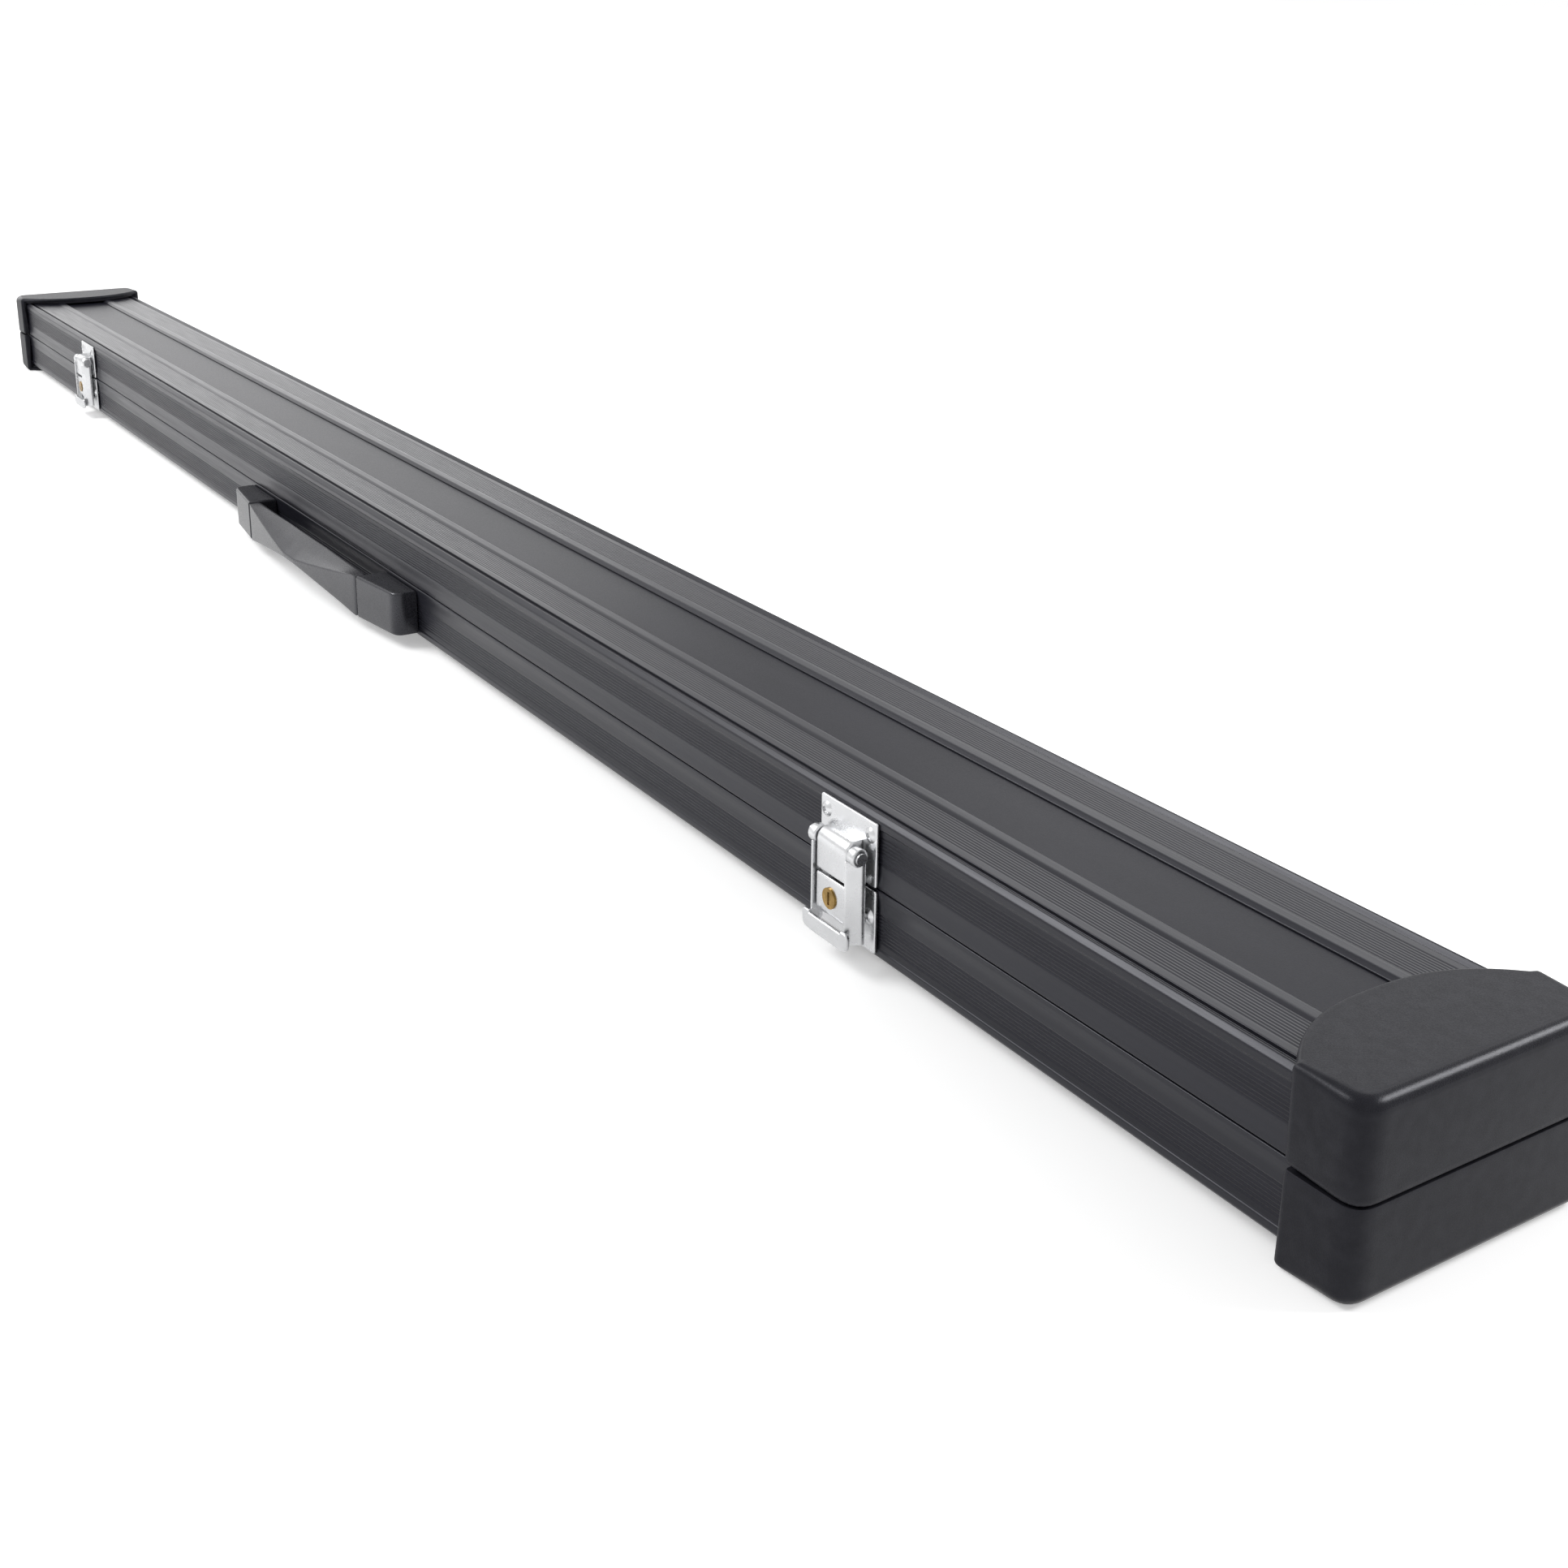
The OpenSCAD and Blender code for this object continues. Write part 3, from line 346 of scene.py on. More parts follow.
flock = finish("dark_flock", (0.020, 0.020, 0.022), (0.046, 0.046, 0.049), (0.86, 0.98),
               (5200, EVEN), (1500, EVEN), bump=0.6, depth=0.0004)
foam = finish("speckled_foam", (0.010, 0.010, 0.011), (0.050, 0.049, 0.048), (0.88, 0.98),
              (4200, EVEN), (900, EVEN), bump=0.7, depth=0.0005)
print("finishes:", len(bpy.data.materials))

# %% [markdown]
# ## Finishes on the solids that stay
# Small hardware keeps its solid: panels, hinges, pins and rivets already have their true shape there.
# Each only needs its finish, chosen by the first start of a name that fits. The solids that are replaced
# below get one too.

# %% Give the solids their finish
DRESSED = {
    "base_near_cap": moulded, "base_far_cap": moulded, "lid_near_cap": moulded, "lid_far_cap": moulded,
    "base_panel": satin, "lid_panel": satin, "hinge_": steel, "bail_pin": chrome, "lock_cam": steel,
    "handle_pins": steel, "handle_screws": steel, "key_barrel": brass, "lid_latch_rivets": chrome,
    "base_latch_rivets": chrome, "latch_": chrome, "lock_box": chrome, "bail_ring": chrome,
    "handle_": grip_black, "base_": anodised, "lid_": anodised,
}
for name, node in cad_nodes.items():
    found = [material for start, material in DRESSED.items() if name.startswith(start)]
    node.data.materials.clear()
    node.data.materials.append(found[0])
print("solids dressed:", len(cad_nodes))

# %% [markdown]
# ## The rails
# All four rails are cut from one drawn aluminium profile: a corner bead with a small chamfer, a groove,
# fine ribs, a smooth bead that holds the panel, and a lip at the seam. Such a profile could be modelled
# edge by edge, but drawing its outline once and carrying it along the case is how the real one is made,
# and every rib stays straight.

# %% Read the main sizes from the frame
def node_box(name):
    """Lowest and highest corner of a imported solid, in millimetres."""
    return [np.array(corner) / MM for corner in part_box(name)]


(_, FRONT_Y, LID_SEAM), (RAIL_END, _, BODY_TOP) = node_box("lid_front_rail")
REAR_Y = node_box("lid_rear_rail")[1][1]
BODY_BOTTOM = node_box("base_front_rail")[0][2]
CASE_END, _, CASE_TOP = node_box("lid_near_cap")[1]
BODY_Y = (FRONT_Y + REAR_Y) / 2
BODY_HALF = (REAR_Y - FRONT_Y) / 2
SEAM_Z = (BODY_TOP + BODY_BOTTOM) / 2
RAIL_HEIGHT = BODY_TOP - LID_SEAM
print("case: half length", round(CASE_END, 1), "width", round(2 * BODY_HALF, 1), "height", round(CASE_TOP, 1))

# %% Set out the rail's section
# Lengths are in millimetres. A row of ribs is given by its start and its number of ribs.
RIB_PITCH = 1.1
RIB_TRIM = 0.22
FLANGE_RIB_DEPTH, SIDE_RIB_DEPTH = 0.16, 0.25
FLANGE_RIBS = (6.9, 11)
SIDE_RIBS = (5.8, 8)
BAND_RECESS = 0.4
CORNER_BEAD, CHAMFER = 2.0, 1.5
GROOVE_WIDTH, GROOVE_DEPTH = 1.2, 1.5
GROOVE_NEAR_LEAN, GROOVE_FAR_LEAN = 0.8 * GROOVE_DEPTH, 0.1
FLANGE = 24.6
BEAD_FOOT, BEAD_SHOULDER = 18.7, 19.9
BEAD_ROUND, BEAD_NOSE = (FLANGE - 1.5, 0), (FLANGE - 0.1, 0.95)
SLOT_ROOF, SLOT_FLOOR, SLOT_END = 1.3, 3.3, 21
LEDGE_UNDER, LEDGE_END = 4.4, 19.6
FLANGE_THICK, WALL = 2.2, 1.8
LIP_EDGE, LIP_SLOPE = 1.4, 3.0
SHELF_THICK, SHELF_REACH = 2, 5


def rib_row(start, count, depth):
    """A zigzag of crests and valleys: position along the band, depth under the face, and a small trim."""
    steps = (np.arange(count)[:, None] + [0, 0.5]).ravel()
    depths = BAND_RECESS + np.tile([0, depth], count)
    return np.stack([start + steps * RIB_PITCH, depths, np.full(2 * count, RIB_TRIM)], axis=1)


print("ribs:", SIDE_RIBS[1], "on a side and", FLANGE_RIBS[1], "on a flange")

# %% Draw the rail's section
def rail_corners():
    """Corners of the section as distance in from the side, distance in from the flat face, and trim."""
    side_end = SIDE_RIBS[0] + SIDE_RIBS[1] * RIB_PITCH
    lip = RAIL_HEIGHT - LIP_EDGE
    shelf = RAIL_HEIGHT - SHELF_THICK
    bead_end = CORNER_BEAD + BAND_RECESS + CHAMFER
    groove = CORNER_BEAD + GROOVE_NEAR_LEAN
    groove_end = groove + GROOVE_WIDTH
    seam_side = [(0, RAIL_HEIGHT, 0.5), (0, lip, 0.3), (BAND_RECESS, lip - LIP_SLOPE, 1.0),
                 (BAND_RECESS, side_end, 0.15)]
    corner = [(BAND_RECESS, bead_end, 0.3), (0, CORNER_BEAD + CHAMFER, 0.4), (0, CHAMFER, 0.5),
              (CHAMFER, 0, 0.4), (CORNER_BEAD, 0, 0.2), (groove, GROOVE_DEPTH, 0.3),
              (groove_end, GROOVE_DEPTH, 0.3), (groove_end + GROOVE_FAR_LEAN, BAND_RECESS, 0.3)]
    bead = [(BEAD_FOOT, BAND_RECESS, 0.4), (BEAD_SHOULDER, 0, 0.6), (*BEAD_ROUND, 0.5), (*BEAD_NOSE, 0.15),
            (FLANGE, SLOT_ROOF, 0.1)]
    slot = [(SLOT_END, SLOT_ROOF, 0.1), (SLOT_END, SLOT_FLOOR, 0.1), (FLANGE, SLOT_FLOOR, 0.2),
            (FLANGE, LEDGE_UNDER, 0.3), (LEDGE_END, LEDGE_UNDER, 0.2)]
    inside = [(LEDGE_END, FLANGE_THICK, 0.4), (WALL, FLANGE_THICK, 0.8), (WALL, shelf, 0.6),
              (SHELF_REACH, shelf, 0.6), (SHELF_REACH, RAIL_HEIGHT, 0.6)]
    side_ribs = rib_row(*SIDE_RIBS, SIDE_RIB_DEPTH)[::-1, [1, 0, 2]]
    flange_ribs = rib_row(*FLANGE_RIBS, FLANGE_RIB_DEPTH)
    return np.concatenate([seam_side, side_ribs, corner, flange_ribs, bead, slot, inside])


print("rail section:", len(rail_corners()), "corners")

# %% Carry the section along the case
RAIL_STEPS = 5
SEAM_CORNERS = 4
rail_section = softened(rail_corners()[:, :2], rail_corners()[:, 2], steps=RAIL_STEPS)
side_rib_columns = (RAIL_STEPS + 2) * (SEAM_CORNERS + np.array([0, 2 * SIDE_RIBS[1]]))


def rail(name, body, outer_y, side, outer_z, up):
    """The section swept straight along X: distances from the side and the flat face become Y and Z."""
    rows = np.empty((2, len(rail_section), 3))
    rows[..., 0] = [[-RAIL_END], [RAIL_END]]
    rows[..., 1] = outer_y + side * rail_section[:, 0]
    rows[..., 2] = outer_z - up * rail_section[:, 1]
    piece = make_piece(name + "_drawn", [rows], body, anodised, name)
    piece.data.materials.append(ribbed)
    finishes = np.zeros(len(piece.data.polygons), np.int32)
    finishes[slice(*side_rib_columns)] = 1
    piece.data.polygons.foreach_set("material_index", finishes)


rail("lid_front_rail", "lid", FRONT_Y, 1, BODY_TOP, 1)
rail("lid_rear_rail", "lid", REAR_Y, -1, BODY_TOP, 1)
rail("base_front_rail", "base", FRONT_Y, 1, BODY_BOTTOM, -1)
rail("base_rear_rail", "base", REAR_Y, -1, BODY_BOTTOM, -1)
print("rails: 4, each with", len(rail_section), "points round its section")

# %% [markdown]
# ## The end caps
# Each end has two moulded caps, one on the lid and one on the base. A cap stands a little proud of the
# rails, has soft edges, and reaches onto the case with a broad rounded tongue. A bevelled box would give
# every edge the same radius. Here one outline seen from above is raised in rows instead, so that the
# outer edges can be full and the tongue's edge thin.

# %% Draw a cap from above
ENDS = ((1, "near"), (-1, "far"))
CAP_PROUD = 3.4
CAP_HALF = BODY_HALF + CAP_PROUD
CAP_ROOT = CASE_END - 21
SKIRT_END = BODY_HALF + 0.2
TONGUE_REACH = 14.5
TONGUE_HALF, OVER_HALF = 36.5, 39.2
TONGUE_POWER = 2.6
TONGUE_SPAN, TONGUE_POINTS = (0.97, 0.04), 11
STEP_SHARES = (0.6, 0.85)


def mirrored_half(values, signs):
    """Corner values of the rear half, followed by the front half in reverse order with its signs."""
    rear = np.array(values, float)
    return np.concatenate([rear, rear[::-1] * signs])


across = np.linspace(*TONGUE_SPAN, TONGUE_POINTS)
bow = np.stack([CAP_ROOT - TONGUE_REACH * (1 - across ** TONGUE_POWER), TONGUE_HALF * across], axis=1)
cap_side = [(CASE_END, CAP_HALF), (CAP_ROOT, CAP_HALF), (CAP_ROOT, SKIRT_END), (CAP_ROOT, BODY_HALF)]
cap_corners = mirrored_half(np.concatenate([cap_side, bow]), [1, -1])
over_bow = bow * [1, OVER_HALF / TONGUE_HALF]
step = over_bow[0] - cap_side[1]
over_side = cap_side[:2] + [cap_side[1] + share * step for share in STEP_SHARES]
over_corners = mirrored_half(np.concatenate([over_side, over_bow]), [1, -1])
print("cap outline:", len(cap_corners), "corners")

# %% Say how each corner of the cap is shaped
CORNER_TRIM, TONGUE_TRIM, HIDDEN_TRIM = 6.5, 1.4, 0.02
SIDE_FULLNESS = 0.25
SEAM_INSETS = (0.55, 1.7, 1.4, 0)


def with_tongue(values, tongue):
    """The values of the four corners of a cap's side, then one value for each point of half the tongue."""
    return list(values) + [tongue] * len(across)


# For each corner: its trim, whether its wall reaches the seam, how far the seam's edge is drawn in, how full
# the top edge is, and whether it lies on the end face. The fullness fades along the tongue.
fading = SIDE_FULLNESS * np.linspace(1, 0, len(across)) ** 3
cap_trims = mirrored_half(with_tongue([CORNER_TRIM, TONGUE_TRIM, HIDDEN_TRIM, HIDDEN_TRIM], TONGUE_TRIM), 1)
cap_skirt = mirrored_half(with_tongue([1, 1, 1, 0], 0), 1)
cap_seam = mirrored_half(with_tongue(SEAM_INSETS, 0), 1)
cap_fullness = mirrored_half([1, SIDE_FULLNESS, SIDE_FULLNESS, SIDE_FULLNESS, *fading], 1)
cap_end = mirrored_half(with_tongue([1, 0, 0, 0], 0), 1)
print("corners whose wall reaches the seam:", int(cap_skirt.sum()))

# %% Raise the outline into rows
FULL_EDGE, THIN_EDGE = 3.8, 1.2
EDGE_STEPS = 9
CAP_WALL, TONGUE_WALL = 3.1, 1.5
CAP_STEPS = 7
SEAM_FOOT, END_FOOT_DROP = 0.5, 0.22
CEILING_RISE = 0.06
RECESS_ROOF, RECESS_CORNER = 2.5, 2.3
SEAM_ROUND = ((0.9, 0), (0.5, 0.25), (0.2, 0.8), (0, 1.8))
TOP_RING = 0.4


def cap_rows(recess, rounding):
    """Rows down the inner wall from the ceiling, round the seam's edge, up the outside and over the top.

    Along the sides and the end the wall starts at the seam. Along the tongue it starts on the rails. The top
    edge at angle t is drawn in by r (1 - cos t) and raised r sin t, and r goes from the full edge to the thin
    one. Heights are measured from the seam. recess thins the end wall by the seam, for the lip on the other
    cap, and rounding scales how far the edge at the seam is drawn in.
    """
    roof, top = BODY_TOP - SEAM_Z, CASE_TOP - SEAM_Z
    level = np.ones(len(cap_corners))
    foot = np.where(cap_skirt > 0, SEAM_FOOT - END_FOOT_DROP * cap_end, roof)
    edge = THIN_EDGE + (FULL_EDGE - THIN_EDGE) * cap_fullness
    wall = np.where(cap_skirt > 0, CAP_WALL, TONGUE_WALL)
    thinned = wall - recess * cap_end
    inner = [(wall, (roof + CEILING_RISE) * level), (wall, np.maximum(foot, RECESS_ROOF)),
             (thinned, np.maximum(foot, RECESS_CORNER)), (thinned, foot)]
    seam = [(inset * rounding * cap_seam, foot + rise) for inset, rise in SEAM_ROUND]
    turn = np.linspace(0, np.pi / 2, EDGE_STEPS)
    over = [(edge * (1 - np.cos(t)), top - edge * (1 - np.sin(t))) for t in turn]
    flat = [(edge + TOP_RING, top * level)]
    insets, heights = (np.stack(column) for column in zip(*inner, *seam, *over, *flat))
    below = np.arange(len(insets)) < len(inner) + len(seam)
    corners = np.where(below[:, None, None], cap_corners, over_corners)
    moved, fitted = zip(*(drawn_in(c, cap_trims, d) for c, d in zip(corners, insets)))
    rows = softened(np.stack(moved), np.stack(fitted), CAP_STEPS)
    tall = np.repeat(heights, CAP_STEPS + 2, axis=1)
    return np.concatenate([rows, tall[..., None]], axis=-1)


print("cap rows and points in a row:", cap_rows(0, 1).shape[:2])

# %% Mould the four caps
# The rows of the top edge that hands and floors rub, counted from the ceiling.
WORN_ROWS = slice(10, 16)
LID_RECESS, LID_ROUNDING = 1.6, 1.0
BASE_RECESS, BASE_ROUNDING = 0, 0.3
SEAM_LIP_INNER, SEAM_LIP_OUTER, SEAM_LIP_HALF = CASE_END - 3.05, CASE_END - 1.9, 29
SEAM_LIP_LOW, SEAM_LIP_HIGH = -1.6, 1.4
SEAM_LIP_TRIM, SEAM_LIP_RIM = 0.3, 0.2
seam_lip = [(SEAM_LIP_INNER, -SEAM_LIP_HALF), (SEAM_LIP_OUTER, -SEAM_LIP_HALF),
            (SEAM_LIP_OUTER, SEAM_LIP_HALF), (SEAM_LIP_INNER, SEAM_LIP_HALF)]


def cap(name, body, end, up):
    """One cap: rows raised for the near lid end, turned to this end and half, and a seam lip on the base.

    The top edge has the more wear the fuller it is.
    """
    shape = (LID_RECESS, LID_ROUNDING) if up > 0 else (BASE_RECESS, BASE_ROUNDING)
    turned = cap_rows(*shape) * [end, 1, up] + [0, BODY_Y, SEAM_Z]
    lofts = [turned]
    if up < 0:
        lofts.append(slab(seam_lip, SEAM_LIP_TRIM, SEAM_LIP_LOW, SEAM_LIP_HIGH, SEAM_LIP_RIM,
                          lambda a, b, h: np.stack([end * a, BODY_Y + b, SEAM_Z + h], axis=-1)))
    piece = make_piece(name + "_moulded", lofts, body, moulded, name)
    wear = np.zeros(len(piece.data.vertices))
    edge_rows = np.zeros(turned.shape[:2])
    edge_rows[WORN_ROWS] = np.repeat(cap_fullness, CAP_STEPS + 2)
    wear[:edge_rows.size] = edge_rows.ravel()
    piece.data.attributes.new("wear", "FLOAT", "POINT").data.foreach_set("value", wear.astype(np.float32))


for end, place in ENDS:
    cap(f"lid_{place}_cap", "lid", end, 1)
    cap(f"base_{place}_cap", "base", end, -1)
print("caps:", 2 * len(ENDS))

# %% [markdown]
# ## The linings
# Thin flocked pads line the floor and the two walls of the base, and a speckled foam pad fills the lid. A
# pad is a full, slightly crowned strip that is flat only where it is glued down. A superellipse gives
# that section in one formula, and slow waves along the strip keep it from looking machined.

# %% Fill the pads
PAD_STATIONS, PAD_POINTS = 120, 96
EDGE_POWER, CROWN_POWER = 0.22, 0.42
END_PULL, END_PULL_LENGTH = 0.1, 2
SINK, WAVE = 0.1, 0.1
LONG_WAVE, SHORT_WAVE = 31, 17


def power(value, exponent):
    """The sign of a value with its size raised to an exponent, which squares off a sine or a cosine."""
    return np.sign(value) * np.abs(value) ** exponent


def pad(name, material, body, face):
    """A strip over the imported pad's box, whose section follows a squared cosine across and a squared sine up.

    face is the axis and sign that the free side looks to. Over the last few millimetres the section draws in
    by up to a tenth. The free side sinks by a tenth of a millimetre and by slow waves of up to a fifth.
    """
    low, high = node_box(name)
    axis, sign = face
    other = 3 - axis
    half, middle = (high - low) / 2, (high + low) / 2
    stations = half[0] * np.sin(np.linspace(-np.pi / 2, np.pi / 2, PAD_STATIONS))
    angle = np.linspace(0, 2 * np.pi, PAD_POINTS, endpoint=False)
    draw = 1 - END_PULL * np.exp(-(half[0] - np.abs(stations)) / END_PULL_LENGTH)
    rows = np.empty((len(stations), len(angle), 3))
    rows[..., 0] = stations[:, None]
    rows[..., other] = draw[:, None] * half[other] * power(np.cos(angle), EDGE_POWER)
    lifted = power(np.sin(angle), CROWN_POWER)
    slow = np.sin(stations / LONG_WAVE)[:, None]
    quick = np.sin(stations / SHORT_WAVE + 1)[:, None] * np.cos(3 * angle)
    free = np.clip(lifted, 0, 1)
    rows[..., axis] = sign * (half[axis] * lifted - free * (SINK + np.abs(WAVE * (slow + quick))))
    piece = make_piece(name + "_pad", [rows + middle], body, material, name)


pad("base_floor_lining", flock, "base", (2, 1))
pad("base_front_lining", flock, "base", (1, 1))
pad("base_rear_lining", flock, "base", (1, -1))
pad("lid_lining", foam, "lid", (2, -1))
print("pads: 4")

# %% [markdown]
# ## The latches
# A latch is pressed and plated steel: a plate riveted to each half, a flap box that carries the bail, and
# a lock box that the bail reaches round. Pressed edges are never sharp, so each part is a slab of its
# outline with rounded rims. The bail is folded sheet: a bar across the front and two slanted walls with
# eyes on the pin.

# %% Find a latch's three drawing planes
LATCH_X = 428


def on_latch(end, kind):
    """How a slab's outline and height become xyz at a latch: drawn from the front, the side or above.

    From the front a runs along the case, b up and h out. From the side a runs out, b up and h along. From
    above a runs along, b out and h up.
    """
    def face(a, b, h):
        return np.stack([end * LATCH_X + a, FRONT_Y - h, SEAM_Z + b], axis=-1)

    def side(a, b, h):
        return np.stack([end * LATCH_X + h, FRONT_Y - a, SEAM_Z + b], axis=-1)

    def plan(a, b, h):
        return np.stack([end * LATCH_X + a, FRONT_Y - b, SEAM_Z + h], axis=-1)

    return {"face": face, "side": side, "plan": plan}[kind]


print("latches at", *(end * LATCH_X for end, _ in ENDS), "mm")

# %% Press the plates and boxes
PLATE_HALF, PLATE_TOP, PLATE_GAP = 14, 20.0, 0.5
PLATE_THICK, PLATE_TRIM, PLATE_RIM = 1, 0.9, 0.35
PLATE_TAB_HALF, PLATE_TAB_LOW = 3.5, -1.7
NOTCH_HALF, NOTCH_LOW = 4, -2.2
BOX_HALF, BOX_BACK, BOX_FRONT, BOX_RIM = 7.5, 0.9, 7.0, 0.9
FLAP_TOP, FLAP_SLOPE = 13, (4.8, 10.8)
LOCK_BOTTOM, LOCK_SLOPE = -13.4, (5.6, -12)
FLAP_TRIMS, LOCK_TRIMS = (0.1, 0.8, 2, 2, 0.1), (0.1, 0.8, 1.6, 1.6, 0.1)
lid_plate = [(-PLATE_HALF, PLATE_TOP), (-PLATE_HALF, PLATE_GAP), (-PLATE_TAB_HALF, PLATE_GAP),
             (-PLATE_TAB_HALF, PLATE_TAB_LOW), (PLATE_TAB_HALF, PLATE_TAB_LOW), (PLATE_TAB_HALF, PLATE_GAP),
             (PLATE_HALF, PLATE_GAP), (PLATE_HALF, PLATE_TOP)]
base_plate = [(-PLATE_HALF, -PLATE_TOP), (PLATE_HALF, -PLATE_TOP), (PLATE_HALF, -PLATE_GAP),
              (NOTCH_HALF, -PLATE_GAP), (NOTCH_HALF, NOTCH_LOW), (-NOTCH_HALF, NOTCH_LOW),
              (-NOTCH_HALF, -PLATE_GAP), (-PLATE_HALF, -PLATE_GAP)]
flap_side = [(BOX_BACK, PLATE_GAP), (BOX_FRONT, PLATE_GAP), (BOX_FRONT, FLAP_SLOPE[1]),
             (FLAP_SLOPE[0], FLAP_TOP), (BOX_BACK, FLAP_TOP)]
lock_side = [(BOX_BACK, -PLATE_GAP), (BOX_FRONT, -PLATE_GAP), (BOX_FRONT, LOCK_SLOPE[1]),
             (LOCK_SLOPE[0], LOCK_BOTTOM), (BOX_BACK, LOCK_BOTTOM)]
for end, place in ENDS:
    face, side = on_latch(end, "face"), on_latch(end, "side")
    pressed = {
        "latch_lid_plate": ("lid", slab(lid_plate, PLATE_TRIM, 0, PLATE_THICK, PLATE_RIM, face)),
        "latch_base_plate": ("base", slab(base_plate, PLATE_TRIM, 0, PLATE_THICK, PLATE_RIM, face)),
        "latch_flap_box": ("lid", slab(flap_side, FLAP_TRIMS, -BOX_HALF, BOX_HALF, BOX_RIM, side)),
        "lock_box": ("base", slab(lock_side, LOCK_TRIMS, -BOX_HALF, BOX_HALF, BOX_RIM, side)),
    }
    for name, (body, rows) in pressed.items():
        make_piece(f"{name}_{place}_pressed", [rows], body, chrome, f"{name}_{place}")
print("latch plates and boxes:", len(ENDS) * len(pressed))

# %% Bend the bails
BAIL_INNER, BAIL_OUTER = 8.1, 11.5
BAIL_FLOOR, BAIL_BOTTOM = -14.0, -19.2
BAR_BACK, BAR_FRONT, BAR_TOP = 7.6, 9.0, -13.2
BAR_TRIMS, BAR_STEPS = (1.5, 5, 5, 1.5, 0.3, 0.4, 0.4, 0.3), 9
WALL_BACK, WALL_FRONT = 2.5, 7.8
WALL_LOW, WALL_HIGH = -17.6, 8.4
WALL_TRIM, FOLD = 0.45, 0.7
EYE_OUT, EYE_UP, EYE_RADIUS = 4.6, 9.6, 2.8
EYE_POINTS, EYE_TRIM, EYE_STEPS = 28, 0.1, 2
BAR_RIM, WALL_RIM, EYE_RIM = 0.5, 0.4, 0.6
SHEET = 1.4
bar = [(-BAIL_OUTER, BAR_TOP), (-BAIL_OUTER, BAIL_BOTTOM), (BAIL_OUTER, BAIL_BOTTOM), (BAIL_OUTER, BAR_TOP),
       (BAIL_INNER, BAR_TOP), (BAIL_INNER, BAIL_FLOOR), (-BAIL_INNER, BAIL_FLOOR), (-BAIL_INNER, BAR_TOP)]
turn = np.linspace(0, 2 * np.pi, EYE_POINTS, endpoint=False)
eye = np.stack([EYE_OUT + EYE_RADIUS * np.cos(turn), EYE_UP + EYE_RADIUS * np.sin(turn)], axis=1)
wall = np.array([(BAIL_INNER, WALL_FRONT), (BAIL_INNER + FOLD, WALL_FRONT), (BAIL_OUTER, WALL_BACK + SHEET),
                 (BAIL_OUTER, WALL_BACK), (BAIL_OUTER - SHEET, WALL_BACK),
                 (BAIL_INNER, WALL_FRONT - 2 * SHEET)])
for end, place in ENDS:
    face, side, plan = on_latch(end, "face"), on_latch(end, "side"), on_latch(end, "plan")
    lofts = [slab(bar, BAR_TRIMS, BAR_BACK, BAR_FRONT, BAR_RIM, face, BAR_STEPS)]
    for hand in (1, -1):
        lofts.append(slab(wall * [hand, 1], WALL_TRIM, WALL_LOW, WALL_HIGH, WALL_RIM, plan))
        left, right = sorted((hand * BAIL_INNER, hand * BAIL_OUTER))
        lofts.append(slab(eye, EYE_TRIM, left, right, EYE_RIM, side, EYE_STEPS))
    make_piece(f"bail_ring_{place}_bent", lofts, f"bail_{place}", chrome, f"bail_ring_{place}")
print("bails:", len(ENDS))

# %% [markdown]
# ## The handle
# The grip is moulded like a shallow boat: it bows away from the case, its front face narrows in the
# middle, and long slanted facets run between that face and the top. It could be carved with planes, but a
# section whose corners move along the grip gives the same facets with soft edges between them.

# %% Carve the grip from moving sections
GRIP_HALF = 71.2
GRIP_Z = SEAM_Z - 10.8
GRIP_STATIONS = 120
STAND_OFF, GRIP_THICK, GRIP_TALL = 5.5, 8.5, 9.3
GRIP_BOW, INNER_BOW = 5.5, 3.0
INNER_SHARE, INNER_POWER = 0.87, 2.2
RIDGE_HALF, RIDGE_TALL, RIDGE_POWER = 6.0, 1.0, 1.15
BACK_CHAMFER, LEAST_CHAMFER = 3.5, 0.8
LEAST_FACET = 0.05
GRIP_TRIMS, GRIP_STEPS = (1.0, 1.0, 0.7, 0.7, 0.7, 0.7, 1.0, 1.0), 5
END_DRAW, END_DRAW_LENGTH = 0.09, 0.7


